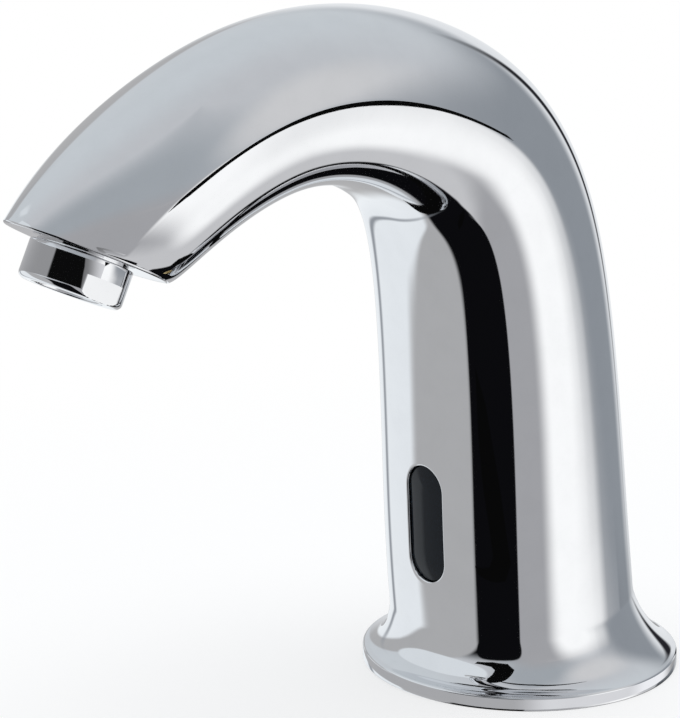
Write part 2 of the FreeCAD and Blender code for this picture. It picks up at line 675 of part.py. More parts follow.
def bracket_screw():
    return slotted_screw(BRACKET_SCREW_RADIUS, BRACKET_SCREW_LENGTH, BRACKET_SCREW_HEAD_RADIUS,
                         BRACKET_SCREW_HEAD, BRACKET_FOOT + BRACKET_THICKNESS, 0, BOSS_HEIGHT, True)


# ---------------------------------------------------------------- supply tail
def inlet_tail():
    """Pipe that screws up into the casting; its lower end carries the supply thread."""
    thread = TAIL_THREAD_RADIUS - FIT_GAP
    end = TAIL_END_RADIUS
    chamfer = TAIL_CHAMFER
    end_top = TAIL_BOTTOM + TAIL_END_LENGTH
    collar_bottom = INLET_BOSS_BOTTOM - TAIL_COLLAR
    thread_top = INLET_BOSS_BOTTOM + TAIL_THREAD_LENGTH
    profile = [(0, TAIL_BOTTOM), (end - chamfer, TAIL_BOTTOM), (end, TAIL_BOTTOM + chamfer),
               (end, end_top - chamfer), (end - chamfer, end_top), (TAIL_RADIUS, end_top),
               (TAIL_RADIUS, collar_bottom), (TAIL_COLLAR_RADIUS, collar_bottom),
               (TAIL_COLLAR_RADIUS, INLET_BOSS_BOTTOM), (thread, INLET_BOSS_BOTTOM),
               (thread, thread_top - chamfer), (thread - chamfer, thread_top), (0, thread_top)]
    pipe = turned(profile, 0, TAIL_BACK)
    nut = hexagon(TAIL_HEX, collar_bottom - TAIL_HEX_LENGTH, collar_bottom, 0, TAIL_BACK)
    bore = rod(TAIL_BORE_RADIUS, TAIL_BOTTOM - 1, WEB_TOP + 1, 0, TAIL_BACK)
    return pipe.fuse(nut).removeSplitter().cut(bore)


def inlet_seal():
    middle = Vector(0, TAIL_BACK, INLET_BOSS_BOTTOM + SEAL_SECTION)
    return Part.makeTorus(SEAL_MIDDLE_RADIUS, SEAL_SECTION, middle)


# ---------------------------------------------------------------- foot
def base_plate():
    plate = rod(PLATE_RADIUS - PLATE_GAP, 0, PLATE_THICKNESS)
    holes = [rod(TAIL_END_RADIUS + CLAMP_HOLE_GAP, -1, PLATE_THICKNESS + 1, 0, TAIL_BACK),
             rod(STUD_RADIUS + CLAMP_HOLE_GAP, -1, PLATE_THICKNESS + 1, 0, STUD_BACK),
             rod(GROMMET_RADIUS + FIT_GAP, -1, PLATE_THICKNESS + 1, 0, -GROMMET_FORWARD),
             rod(GROMMET_FLANGE_RADIUS + PLATE_GAP, -1, GROMMET_FLANGE, 0, -GROMMET_FORWARD)]
    for side in (-1, 1):
        holes.append(rod(PLATE_SCREW_RADIUS + PLATE_GAP, -1, PLATE_THICKNESS + 1, side * LUG_ASIDE, 0))
        holes.append(screw_seat(side * LUG_ASIDE, PLATE_GAP / 2))
    return plate.cut(holes)


def screw_seat(x, gap=0.0):
    """Cone under a countersunk head, wide end down on the deck plane."""
    wide, narrow = PLATE_SCREW_HEAD_RADIUS + gap, PLATE_SCREW_RADIUS
    return Part.makeCone(wide, narrow, PLATE_SCREW_HEAD, Vector(x, 0, 0))


def base_plate_screws():
    screws = []
    for side in (-1, 1):
        x = side * LUG_ASIDE
        shank = rod(PLATE_SCREW_RADIUS - FIT_GAP, PLATE_SCREW_HEAD / 2, PLATE_SCREW_LENGTH, x, 0)
        slot = block(3 * PLATE_SCREW_HEAD_RADIUS, DRIVE_WIDTH, -1, PLATE_SCREW_HEAD / 2, x)
        screws.append(shank.fuse(screw_seat(x)).removeSplitter().cut(slot))
    return screws


def lead_grommet():
    y = -GROMMET_FORWARD
    sleeve = rod(GROMMET_RADIUS, 0, PLATE_THICKNESS + GROMMET_FLANGE, 0, y)
    lower = rod(GROMMET_FLANGE_RADIUS, 0, GROMMET_FLANGE, 0, y)
    upper = rod(GROMMET_FLANGE_RADIUS, PLATE_THICKNESS, PLATE_THICKNESS + GROMMET_FLANGE, 0, y)
    whole = sleeve.fuse([lower, upper]).removeSplitter()
    return whole.cut(rod(LEAD_RADIUS, -1, 2 * PLATE_THICKNESS, 0, y))


def base_gasket():
    ring = rod(GASKET_GROOVE_OUT, 0, GASKET_GROOVE_DEPTH)
    return ring.cut(rod(GASKET_GROOVE_IN, -1, GASKET_GROOVE_DEPTH + 1))


# ---------------------------------------------------------------- fixing
def fixing_stud():
    radius, chamfer = STUD_RADIUS - FIT_GAP, STUD_CHAMFER
    profile = [(0, STUD_BOTTOM), (radius - chamfer, STUD_BOTTOM), (radius, STUD_BOTTOM + chamfer),
               (radius, STUD_TOP - chamfer), (radius - chamfer, STUD_TOP), (0, STUD_TOP)]
    return turned(profile, 0, STUD_BACK)


def stud_locknut():
    nut = hexagon(STUD_NUT_ACROSS, STUD_BOSS_BOTTOM - STUD_LOCKNUT_HEIGHT, STUD_BOSS_BOTTOM, 0, STUD_BACK)
    return nut.cut(rod(STUD_RADIUS, 0, STUD_BOSS_BOTTOM + 1, 0, STUD_BACK))


def horseshoe(low, high):
    """Round plate with a slot from the tail to the front and a hole for the stud."""
    plate = rod(CLAMP_RADIUS, low, high)
    slot = rod(CLAMP_SLOT_RADIUS, low - 1, high + 1, 0, TAIL_BACK)
    mouth = box(-CLAMP_SLOT_RADIUS, CLAMP_SLOT_RADIUS, -2 * CLAMP_RADIUS, TAIL_BACK, low - 1, high + 1)
    hole = rod(STUD_RADIUS + CLAMP_HOLE_GAP, low - 1, high + 1, 0, STUD_BACK)
    return plate.cut([slot, mouth, hole])


def clamp_washer():
    washer = rod(WASHER_RADIUS, NUT_TOP, WASHER_TOP, 0, STUD_BACK)
    return washer.cut(rod(STUD_RADIUS + CLAMP_HOLE_GAP, NUT_TOP - 1, WASHER_TOP + 1, 0, STUD_BACK))


def fixing_nut():
    top = NUT_TOP - SEAT_GAP
    nut = hexagon(STUD_NUT_ACROSS, top - STUD_NUT_HEIGHT, top, 0, STUD_BACK)
    return nut.cut(rod(STUD_RADIUS, top - 2 * STUD_NUT_HEIGHT, top + 1, 0, STUD_BACK))


# ---------------------------------------------------------------- all nodes
save("spout_body", spout_body())
for name, piece in (("aerator_housing", aerator_housing()), ("aerator_screen", aerator_screen()),
                    ("aerator_insert", aerator_insert()), ("aerator_seal", aerator_seal())):
    save(name, placed(piece, AERATOR_FRAME))
for name, piece in (("sensor_window", sensor_window()), ("window_gasket", window_gasket()),
                    ("sensor_case", sensor_case()), ("sensor_board", sensor_board()),
                    ("ir_emitter", round_lamp(LED_RADIUS, LED_LENGTH, LED_SPACING)),
                    ("ir_receiver", round_lamp(LED_RADIUS, LED_LENGTH, -LED_SPACING)),
                    ("status_lamp", round_lamp(STATUS_RADIUS, STATUS_LENGTH, LED_SPACING + STATUS_ABOVE)),
                    ("beam_divider", beam_divider()), ("sensor_back_cover", sensor_back_cover()),
                    ("sensor_bracket", sensor_bracket()), ("bracket_screw", bracket_screw())):
    save(name, placed(piece, WINDOW_FRAME))
save("case_screws", [placed(screw, WINDOW_FRAME) for screw in case_screws()])
save("inlet_tail", inlet_tail())
save("inlet_seal", inlet_seal())
save("base_plate", base_plate())
save("base_plate_screws", base_plate_screws())
save("lead_grommet", lead_grommet())
save("base_gasket", base_gasket())
save("fixing_stud", fixing_stud())
save("stud_locknut", stud_locknut())
save("clamp_rubber", horseshoe(STEEL_TOP, RUBBER_TOP))
save("clamp_plate", horseshoe(WASHER_TOP, STEEL_TOP))
save("clamp_washer", clamp_washer())
save("fixing_nut", fixing_nut())
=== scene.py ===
"""Sensor tap: the shown pieces, finishes and studio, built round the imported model.

Shapes are worked out in millimetres from the same line and sections as the solid casting, and are
written to the meshes in metres. The origin is the centre of the foot on the deck, +Z is up and the
spout points towards -Y.
"""

import math

import bmesh
import bpy
import numpy as np
from bpy.props import FloatProperty, FloatVectorProperty, IntProperty, PointerProperty
from mathutils import Matrix, Vector


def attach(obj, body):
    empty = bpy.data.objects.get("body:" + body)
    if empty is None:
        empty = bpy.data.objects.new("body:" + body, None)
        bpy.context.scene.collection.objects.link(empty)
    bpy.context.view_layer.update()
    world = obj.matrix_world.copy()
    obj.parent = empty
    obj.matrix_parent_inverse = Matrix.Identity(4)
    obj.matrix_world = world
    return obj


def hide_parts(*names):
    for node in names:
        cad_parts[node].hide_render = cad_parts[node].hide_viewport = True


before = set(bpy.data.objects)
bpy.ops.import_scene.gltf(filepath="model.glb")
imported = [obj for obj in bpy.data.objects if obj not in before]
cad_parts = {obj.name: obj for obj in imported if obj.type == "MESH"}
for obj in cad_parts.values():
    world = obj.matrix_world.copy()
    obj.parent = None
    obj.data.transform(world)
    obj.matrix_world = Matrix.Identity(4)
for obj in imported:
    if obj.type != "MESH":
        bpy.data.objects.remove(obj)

bl_info = {
    "name": "Sensor Tap",
    "version": (1, 0, 0),
    "blender": (4, 5, 0),
    "location": "View3D > Sidebar > Tap",
    "description": "Builds the visible pieces and finishes of a basin tap with a sensor window",
    "category": "Object",
}

MM = 0.001

# ---- sizes shared with the solids, mm
# Poles of the casting's line (forward, up), and its half width, height above and depth below there.
LINE = np.array([(0.0, 0.0), (1.0, 10.5), (4.0, 29.0), (9.5, 106.0), (31.0, 127.5), (77.0, 140.1),
                 (113.3, 119.9), (118.8, 108.4)])
SECTIONS = np.array([(26.0, 26.0, 26.0), (26.5, 26.0, 26.0), (27.0, 25.0, 25.5), (25.0, 22.5, 22.5),
                     (23.5, 20.5, 19.5), (21.2, 14.2, 18.2), (21.0, 9.3, 20.2), (13.4, 16.6, 18.4)])
COLUMN_SQUARENESS, SPOUT_SQUARENESS = 2.45, 2.6
CREASE_HALF_ANGLE = math.radians(68.0)
CREASE_START, CREASE_FULL = 0.35, 0.75
WALL = 3.0
FLANGE_RADIUS, FLANGE_RIM, FLANGE_MIDDLE, RIM_ROUND = 35.0, 3.2, 1.1, 0.55
SMALL_ROUND = 0.3           # of the edges that only a finger would find
FLARE_TOP, FLARE_LOW = 15.5, 5.5
HOLLOW_BOTTOM, HOLLOW_TOP = 3.0, 74.0
# Underside of the foot, (radius, height): recess of the base plate and groove of the gasket.
FOOT_PROFILE = [(28.0, 3.0), (28.0, 0.0), (29.8, 0.0), (29.8, 1.6), (32.4, 1.6), (32.4, 0.0)]
WINDOW_HEIGHT, WINDOW_WIDTH, WINDOW_LENGTH = 36.5, 10.5, 26.2
WINDOW_GAP, WINDOW_RECESS = 0.15, 0.4
GLASS_SEAT, GLASS_BACK, GLASS_FLANGE = 3.8, 5.0, 2.4
AERATOR_TILT, AERATOR_OFFSET = math.radians(25.5), -1.2
AERATOR_RADIUS, AERATOR_NECK, AERATOR_HEIGHT, AERATOR_ROUND = 10.25, 0.8, 7.4, 1.3
AERATOR_THREAD, AERATOR_THREAD_LENGTH, AERATOR_THREAD_CHAMFER, AERATOR_PITCH = 9.0, 7.0, 0.4, 1.0
RING_RAISED = 0.4           # how much nearer the spout the ring's shown edge is than the solid's
AERATOR_BORE, SOCKET_LEDGE = 7.6, 7.5
AERATOR_LIP, AERATOR_LIP_HEIGHT = 6.8, 1.5
SOCKET_RADIUS, SOCKET_DEPTH, OUTLET_RADIUS, OUTLET_DEPTH = 9.05, 9.0, 6.0, 23.0
FLAT_ACROSS, FLAT_HEIGHT = 18.5, 4.2
# Supply tail: radii of its bore, pipe, hexagon and collar, then of its two threads.
TAIL_Y, TAIL_BORE, TAIL_PIPE, TAIL_HEX, TAIL_COLLAR = -2.0, 3.6, 5.0, 8.08, 9.2
SUPPLY_THREAD, SUPPLY_DEPTH, SOCKET_THREAD, SOCKET_THREAD_DEPTH, SOCKET_PITCH = 8.33, 0.8, 5.95, 0.5, 1.0
TAIL_FOOT, SUPPLY_THREAD_TOP, HEX_LOW, HEX_HIGH, COLLAR_TOP, TAIL_TOP = -70.0, -58.0, 55.0, 60.0, 62.0, 74.0
TAIL_CHAMFER, HEX_ACROSS = 1.0, 14.0
STUD_Y, STUD_RADIUS, STUD_CHAMFER, STUD_THREAD_DEPTH, STUD_FOOT, STUD_TOP = 13.5, 3.95, 0.8, 0.7, -50.0, 26.0
# Mesh of the other pieces: columns round each, rows over the glass, and mm between the rows of a thread.
TAIL_COLUMNS, STUD_COLUMNS, GLASS_COLUMNS, GLASS_ROWS = 96, 48, 240, 14
TAIL_ROWS, AERATOR_ROWS, STUD_ROWS_A_TURN = 0.15, 0.12, 8

# ---- rows and columns of the casting's grid
# Block of the outer wall that frames the window: its half turn, and the heights of the line there.
BLOCK_TURN, BLOCK_LOW, BLOCK_HIGH = 0.36, 18.5, 56.0
BLOCK_SHARES = (0.76, 0.21)     # the same block on the hollow's wall, in shares of the way up
# Lengths in mm that the mesh spacing cuts into rows or columns.
BLOCK_WIDTH, BLOCK_LENGTH, ABOVE_BLOCK, BELOW_BLOCK = 19, 38, 17, 14
SIDE_RUN, BACK_RUN, FLARE_RUN, FOOT_RUN, SPOUT_RUN = 22, 40, 22, 4, 190
# Columns over each crease: how many, and the half turn they cover for a rounding of 1 mm.
CREASE_COLUMNS, CREASE_REACH = 15, 2.4 / 18.0
# Rows across the spout's end face, in shares of the way in to the socket, and down the socket, in mm.
FACE_SHARES, SOCKET_ROWS = (0.2, 0.4, 0.6, 0.8, 0.96), (2.0, 5.0, SOCKET_DEPTH)
# Rings from the window's slot to the borders of its two blocks, and where the inner ones are pressed flat.
OUTER_RINGS, INNER_RINGS, FLAT_SHARE = 14, 8, 0.45
# First guesses of the search for the slot: mm to one place or share, and to one radian of turn; and
# the share of the way up the hollow where the window's middle is.
OUTER_GUESS, HOLLOW_GUESS, HOLLOW_MIDDLE = (230.0, 27.0), (74.0, 24.0), 0.46


# ---- settings
def length_setting(name, description, default, low, high, precision=5):
    """Length that a user may change; the numbers here are in millimetres."""
    return FloatProperty(name=name, description=description, default=default * MM, min=low * MM,
                         max=high * MM, unit="LENGTH", precision=precision)


def colour_setting(name, description, default):
    return FloatVectorProperty(name=name, description=description, default=default, min=0, max=1, size=3,
                               subtype="COLOR")


class CastingSettings(bpy.types.PropertyGroup):
    """Sizes and finish of the casting."""

    crease_round: length_setting("Crease rounding", "Half width of the band that rounds the crease",
                                 0.7, 0.05, 2)
    end_round: length_setting("End rounding", "Radius of the edge round the spout's end", 0.45, 0.05, 2)
    window_round: length_setting("Window rounding", "Radius of the polished edge round the window",
                                 0.35, 0.05, 1)
    spacing: length_setting("Mesh spacing", "Distance between the rows of the casting's mesh", 1.0, 0.4, 4)
    plating: colour_setting("Plating", "Colour of the chrome plating", (0.80, 0.81, 0.83))
    polish: FloatProperty(name="Roughness", description="Roughness of the polished plating",
                          default=0.035, min=0, max=1, subtype="FACTOR")
    waviness: length_setting("Waviness", "Depth of the gentle waves that hand polishing leaves",
                             0.02, 0, 0.5, precision=6)


class AeratorSettings(bpy.types.PropertyGroup):
    """Sizes of the aerator ring."""

    columns: IntProperty(name="Columns", description="Faces round the ring", default=360, min=48, max=720)
    thread_depth: length_setting("Thread depth", "Depth of the thread on the neck", 0.35, 0, 1)


class WindowSettings(bpy.types.PropertyGroup):
    """Shape and tint of the sensor window."""

    crown: length_setting("Crown", "How far the middle of the window stands above its sides", 0.4, 0, 1)
    tint: colour_setting("Tint", "Colour of the dark window", (0.004, 0.007, 0.011))


class FixingSettings(bpy.types.PropertyGroup):
    """Threads under the deck."""

    stud_pitch: length_setting("Stud pitch", "Rise of the stud's thread in one turn", 1.25, 0.5, 3)
    tail_pitch: length_setting("Tail pitch", "Rise of the supply thread in one turn", 1.337, 0.5, 3)


class StudioSettings(bpy.types.PropertyGroup):
    """Floor, lights and camera."""

    floor: colour_setting("Floor", "Colour of the floor", (0.93, 0.93, 0.93))
    lamp_power: FloatProperty(
        name="Lamp power", description="Power of the soft lamp overhead", default=9.0, min=0, unit="POWER")
    lens: FloatProperty(
        name="Lens", description="Focal length of the camera", default=141.13, min=10, unit="CAMERA")


SETTINGS = {"casting": CastingSettings, "aerator": AeratorSettings, "window": WindowSettings,
            "fixing": FixingSettings, "studio": StudioSettings}


def settings(name):
    return getattr(bpy.context.scene, "tap_" + name)


# ---- shader expressions
class Value:
    """A number or colour on its way through a shader; arithmetic on a number adds Math nodes."""

    def __init__(self, shader, socket):
        self.shader, self.socket = shader, socket

    def math(self, operation, *others):
        inputs = dict(enumerate((self, *others)))
        return self.shader.node("ShaderNodeMath", inputs, operation=operation)

    def __add__(self, other):
        return self.math("ADD", other)

    def __sub__(self, other):
        return self.math("SUBTRACT", other)

    def __rsub__(self, other):
        return self.shader.node("ShaderNodeMath", {0: other, 1: self}, operation="SUBTRACT")

    def __mul__(self, other):
        return self.math("MULTIPLY", other)

    def __truediv__(self, other):
        return self.math("DIVIDE", other)

    def __neg__(self):
        return self.math("MULTIPLY", -1.0)

    def __abs__(self):
        return self.math("ABSOLUTE")

    __radd__, __rmul__ = __add__, __mul__

    def step(self, start, end):
        """0 before start, 1 after end, smooth between."""
        return self.shader.node("ShaderNodeMapRange", {"Value": self, "From Min": start, "From Max": end},
                                interpolation_type="SMOOTHSTEP")


class Shader:
    """A node tree that values are added to."""

    def __init__(self, tree):
        self.tree = tree
        tree.nodes.clear()

    def node(self, kind, inputs=None, output=0, **choices):
        """Add a node: its choices first, then the values or links of its inputs."""
        made = self.tree.nodes.new(kind)
        for name, choice in choices.items():
            setattr(made, name, choice)
        for name, value in (inputs or {}).items():
            if isinstance(value, Value):
                self.tree.links.new(value.socket, made.inputs[name])
            else:
                made.inputs[name].default_value = value
        return Value(self, made.outputs[output]) if made.outputs else made

    def blend(self, share, first, second):
        """Colour that goes from first to second as share goes from 0 to 1."""
        return self.node("ShaderNodeMix", {"Factor": share, 6: first, 7: second}, output=2, data_type="RGBA")

    def place(self):
        return self.node("ShaderNodeTexCoord", output="Object")

    def parts(self, vector, names="XYZ"):
        return [self.node("ShaderNodeSeparateXYZ", {0: vector}, output=name) for name in names]

    def light_path(self, name):
        return self.node("ShaderNodeLightPath", output=name)

    def mix(self, share, first, second):
        """Surface that goes from first to second as share goes from 0 to 1."""
        return self.node("ShaderNodeMixShader", {0: share, 1: first, 2: second})

    def noise(self, scale, detail=2.0, roughness=0.5, stretch=None):
        """Noise from 0 to 1 in the object's own space; scale is in waves per metre."""
        at = self.place()
        if stretch:
            at = self.node("ShaderNodeMapping", {"Vector": at, "Scale": stretch})
        return self.node("ShaderNodeTexNoise",
                         {"Vector": at, "Scale": scale, "Detail": detail, "Roughness": roughness})

    def bump(self, height, distance):
        """Normal of a surface raised by height times a distance in metres."""
        return self.node("ShaderNodeBump", {"Height": height, "Distance": distance, "Strength": 1.0})


def rgb(colour, shade=1.0):
    """Colour for a socket, times a shade."""
    return (*(shade * part for part in colour), 1.0)


def blank_material(name):
    material = bpy.data.materials.new(name)
    material.use_nodes = True
    return material, Shader(material.node_tree)


def finish(name, describe, **fixed):
    """Make a material: fixed values go on the surface's own sockets, describe links what varies."""
    material, shader = blank_material(name)
    inputs = {key.replace("_", " ").title().replace("Ior", "IOR"): value for key, value in fixed.items()}
    inputs.update(describe(shader))
    surface = shader.node("ShaderNodeBsdfPrincipled", inputs)
    shader.node("ShaderNodeOutputMaterial", {"Surface": surface})
    return material


# ---- finishes
def chrome_finish(name="chrome_plate", waviness=None):
    """Plated and polished: faint large waves, finer haze and a few hairline marks."""
    casting = settings("casting")

    def describe(shader):
        waves = shader.noise(38.0, 1.0)
        haze = shader.noise(160.0, 4.0, 0.6)
        marks = shader.noise(900.0, 2.0, 0.5, stretch=(1.0, 1.0, 0.08))
        roughness = casting.polish + 0.02 * haze.step(0.45, 0.75) + 0.01 * marks.step(0.62, 0.7)
        colour = shader.blend(haze.step(0.3, 0.8), rgb(casting.plating), rgb(casting.plating, 0.97))
        depth = casting.waviness if waviness is None else waviness
        return {"Base Color": colour, "Roughness": roughness, "Normal": shader.bump(waves, depth)}

    return finish(name, describe, metallic=1.0)


def plain_finish(name, colour, roughness, grain=400.0, depth=0.02 * MM, metallic=0.0, shade=0.85, **fixed):
    """Even colour with a little mottling, uneven gloss and a fine grain."""
    def describe(shader):
        mottle = shader.noise(90.0, 3.0)
        fine = shader.noise(grain, 3.0, 0.6)
        return {"Base Color": shader.blend(mottle.step(0.3, 0.7), rgb(colour), rgb(colour, shade)),
                "Roughness": roughness + 0.12 * (fine - 0.5),
                "Normal": shader.bump(fine, depth)}

    return finish(name, describe, metallic=metallic, **fixed)


def turned_finish(name, colour, roughness, pitch=0.25 * MM, depth=0.01 * MM):
    """Machined metal: fine rings across the piece's height and a mottled colour."""
    def describe(shader):
        height, = shader.parts(shader.place(), "Z")
        rings = (height * (2 * math.pi / pitch)).math("SINE") * 0.5 + 0.5
        mottle = shader.noise(60.0, 3.0)
        return {"Base Color": shader.blend(mottle.step(0.35, 0.7), rgb(colour), rgb(colour, 0.82)),
                "Roughness": roughness + 0.1 * (mottle - 0.5),
                "Normal": shader.bump(rings, depth)}

    return finish(name, describe, metallic=1.0)


def window_finish():
    """Smoked plastic that looks black, with a polished face."""
    tint = settings("window").tint

    def describe(shader):
        dust = shader.noise(700.0, 2.0)
        return {"Base Color": shader.blend(dust.step(0.6, 0.8), rgb(tint), rgb(tint, 1.5)),
                "Roughness": 0.05 + 0.02 * dust}

    return finish("smoked_window", describe, ior=1.33)


def board_finish():
    """Green solder mask over faint copper tracks."""
    def describe(shader):
        place = shader.place()
        cells = shader.node("ShaderNodeTexBrick", {
            "Vector": shader.node("ShaderNodeMapping", {"Vector": place, "Rotation": (math.pi / 2, 0, 0)}),
            "Scale": 160.0, "Mortar Size": 0.05, "Color1": (0, 0, 0, 1), "Color2": (0, 0, 0, 1),
            "Mortar": (1, 1, 1, 1)}, output="Fac")
        return {"Base Color": shader.blend(cells, (0.02, 0.16, 0.07, 1), (0.05, 0.27, 0.13, 1)),
                "Roughness": 0.35 + 0.1 * shader.noise(300.0),
                "Normal": shader.bump(cells, 0.02 * MM)}

    return finish("solder_mask", describe)


# ---- meshes from grids of points
def sheet(points, closed=False, skip=None):
    """Points of a (rows, columns, 3) grid and its quads.

    closed joins the last column to the first; skip is a (rows, columns) mask of the quads left out.
    """
    rows, columns = points.shape[:2]
    index = np.arange(rows * columns).reshape(rows, columns)
    if closed:
        index = np.hstack([index, index[:, :1]])
    quads = np.stack([index[:-1, :-1], index[:-1, 1:], index[1:, 1:], index[1:, :-1]], -1)
    return points.reshape(-1, 3), quads.reshape(-1, 4) if skip is None else quads[~skip]


def add_object(name, data):
    made = bpy.data.objects.new(name, data)
    bpy.context.scene.collection.objects.link(made)
    return made


def piece(name, sheets, material, body, stands_for, sharp):
    """Weld sheets into one closed object on a body of the model, smooth but for its sharp edges."""
    starts = np.cumsum([0] + [len(points) for points, _ in sheets])
    points = np.concatenate([points for points, _ in sheets]) * MM
    quads = np.concatenate([quads + start for (_, quads), start in zip(sheets, starts)])
    mesh = bpy.data.meshes.new(name)
    mesh.vertices.add(len(points))
    mesh.vertices.foreach_set("co", points.ravel())
    mesh.loops.add(quads.size)
    mesh.loops.foreach_set("vertex_index", quads.ravel())
    mesh.polygons.add(len(quads))
    mesh.polygons.foreach_set("loop_start", np.arange(0, quads.size, 4))
    mesh.update(calc_edges=True)
    shape = bmesh.new()
    shape.from_mesh(mesh)
    bmesh.ops.remove_doubles(shape, verts=shape.verts, dist=1e-6)
    bmesh.ops.recalc_face_normals(shape, faces=shape.faces)
    open_edges = sum(1 for edge in shape.edges if len(edge.link_faces) != 2)
    if open_edges:
        raise RuntimeError("%s has %d open edges" % (name, open_edges))
    shape.to_mesh(mesh)
    shape.free()
    mesh.shade_smooth()
    mesh.set_sharp_from_angle(angle=math.radians(sharp))
    mesh.materials.append(material)
    made = add_object(name, mesh)
    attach(made, body)
    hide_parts(*stands_for)


def dress(nodes, material):
    """Give nodes of the model a finish in place of their plain one."""
    for node in nodes:
        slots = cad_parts[node].material_slots
        if not slots:
            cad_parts[node].data.materials.append(material)
        for slot in slots:
            slot.material = material


def quarter(radius, steps=6):
    """Sines and cosines, times a radius, of a quarter turn cut in equal steps."""
    angle = np.linspace(0.0, math.pi / 2, steps + 1)
    return radius * np.sin(angle), radius * np.cos(angle)


def rounded(edge, face, radius, steps, above=False):
    """(radius, height) rows round an outer corner, whose sharp sides are at edge and face.

    They run from the face out and up to the edge; above, they run from the edge up to the face.
    """
    sines, cosines = quarter(radius, steps)
    if above:
        return [(edge - radius + cosine, face - radius + sine) for sine, cosine in zip(sines, cosines)]
    return [(edge - radius + sine, face + radius - cosine) for sine, cosine in zip(sines, cosines)]


def ease(value, start, end):
    """0 before start, 1 after end, 3t^2 - 2t^3 between."""
    share = np.clip((value - start) / (end - start), 0.0, 1.0)
    return share * share * (3 - 2 * share)


# ---- the casting's surface
def spline(poles, places, slope=False):
    """Clamped cubic through evenly spaced knots: poles weighted by the Cox-de Boor recurrence.

    slope gives its derivative, the quadratic of the scaled differences of the poles.
    """
    degree, count = 3, len(poles)
    knots = np.concatenate([[0.0] * 3, np.linspace(0.0, 1.0, count - 2), [1.0] * 3])
    if slope:
        steps = (knots[4:4 + count - 1] - knots[1:count])[:, None]
        poles, knots, degree = 3 * np.diff(poles, axis=0) / steps, knots[1:-1], 2
    at = np.clip(places, 0.0, 1.0 - 1e-9)[..., None]
    basis = ((at >= knots[:-1]) & (at < knots[1:])).astype(float)
    for order in range(1, degree + 1):
        rise = knots[order:-1] - knots[:-order - 1]
        fall = knots[order + 1:] - knots[1:-order]
        left = np.where(rise > 0, (at - knots[:-order - 1]) / np.where(rise > 0, rise, 1), 0)
        right = np.where(fall > 0, (knots[order + 1:] - at) / np.where(fall > 0, fall, 1), 0)
        basis = left * basis[..., :-1] + right * basis[..., 1:]
    return basis @ poles


def section_sizes(place, inset):
    """Half width, height and depth of the section, how far its crease is formed, and the arc's edge."""
    half, high, deep = np.moveaxis(spline(SECTIONS, place), -1, 0) - inset
    formed = ease(place, CREASE_START, CREASE_FULL)
    edge = math.pi / 2 + (CREASE_HALF_ANGLE - math.pi / 2) * formed
    return half, high, deep, formed, edge


def sharp_outline(place, level, inset):
    """Half of a section: level is 1 at the crown, 0 at the crease and -1 at the belly.

    Above the crease it is an arc of an ellipse, squeezed to end at the crease's half angle. Below
    it, it is a superellipse in polar form: (half cos t, deep sin t) over (cos^n t + sin^n t)^(1/n).
    """
    half, high, deep, formed, edge = section_sizes(place, inset)
    swing = edge * (1 - np.maximum(level, 0))
    crown = (half * np.sin(swing) / np.sin(edge),
             high * (np.cos(swing) - np.cos(edge)) / (1 - np.cos(edge)))
    power = COLUMN_SQUARENESS + (SPOUT_SQUARENESS - COLUMN_SQUARENESS) * formed
    turn = np.maximum(-level, 0) * math.pi / 2
    cosine, sine = np.abs(np.cos(turn)), np.sin(turn)
    reach = (cosine ** power + sine ** power) ** (1 / power)
    belly = half * cosine / reach, -deep * sine / reach
    return np.where(level > 0, crown[0], belly[0]), np.where(level > 0, crown[1], belly[1])


def outline(place, level, inset=0.0, rounding=0.0):
    """The section with its crease rounded: the mean of the sharp outline over a short stretch.

    The stretch is widest at the crease and shrinks to nothing three half widths away from it.
    """
    if rounding <= 0:
        return sharp_outline(place, level, inset)
    half, high, deep, _, edge = section_sizes(place, inset)
    up = edge * np.hypot(half / np.tan(edge), high * np.sin(edge) / (1 - np.cos(edge)))
    down = deep * math.pi / 2
    distance = level * np.where(level > 0, up, down)
    width = rounding * np.maximum(0, 1 - (distance / (3 * rounding)) ** 2) ** 2
    shares = np.linspace(-1, 1, 17)
    weights = (1 - shares ** 2) / (1 - shares ** 2).sum()
    aside, rise = 0.0, 0.0
    for share, weight in zip(shares, weights):
        moved = distance + share * width
        x, y = sharp_outline(place, np.where(moved > 0, moved / up, moved / down), inset)
        aside, rise = aside + weight * x, rise + weight * y
    return aside, rise


def skin(place, turn, inset=0.0, rounding=0.0):
    """Point of the casting: place goes 0 to 1 along its line, turn goes round it from the belly.

    The section stands square to the line: point = line + aside * X + rise * above, where above is
    the line's direction turned a quarter up.
    """
    place, turn = np.broadcast_arrays(np.asarray(place, float), np.asarray(turn, float))
    aside, rise = outline(place, np.abs(turn) * 2 / math.pi - 1, inset, rounding)
    middle, slope = spline(LINE, place), spline(LINE, place, True)
    slope = slope / np.linalg.norm(slope, axis=-1, keepdims=True)
    forward = middle[..., 0] - slope[..., 1] * rise
    up = middle[..., 1] + slope[..., 0] * rise
    return np.stack([aside * np.sign(turn), -forward, up], -1)


def place_at(height, turn=None, inset=0.0):
    """Place where the line, or the skin at a turn, reaches a height: by halving."""
    low = np.zeros(np.shape(turn) if turn is not None else ())
    high = low + 0.5
    for _ in range(40):
        middle = (low + high) / 2
        reached = spline(LINE, middle)[..., 1] if turn is None else skin(middle, turn, inset)[..., 2]
        low, high = np.where(reached < height, middle, low), np.where(reached < height, high, middle)
    return (low + high) / 2


def flare(share, turn, rounding):
    """Surface between the column (share 0) and the rim's edge (share 1).

    The section slides down the column while it flows, with the square of share, to the rim's circle.
    """
    place = np.interp(FLARE_TOP - (FLARE_TOP - FLARE_LOW) * share, *height_table())
    flow = (share * share)[..., None]
    rim = ring_points(FLANGE_RADIUS - RIM_ROUND, FLANGE_RIM, turn)
    return skin(place, turn, 0.0, rounding) * (1 - flow) + rim * flow


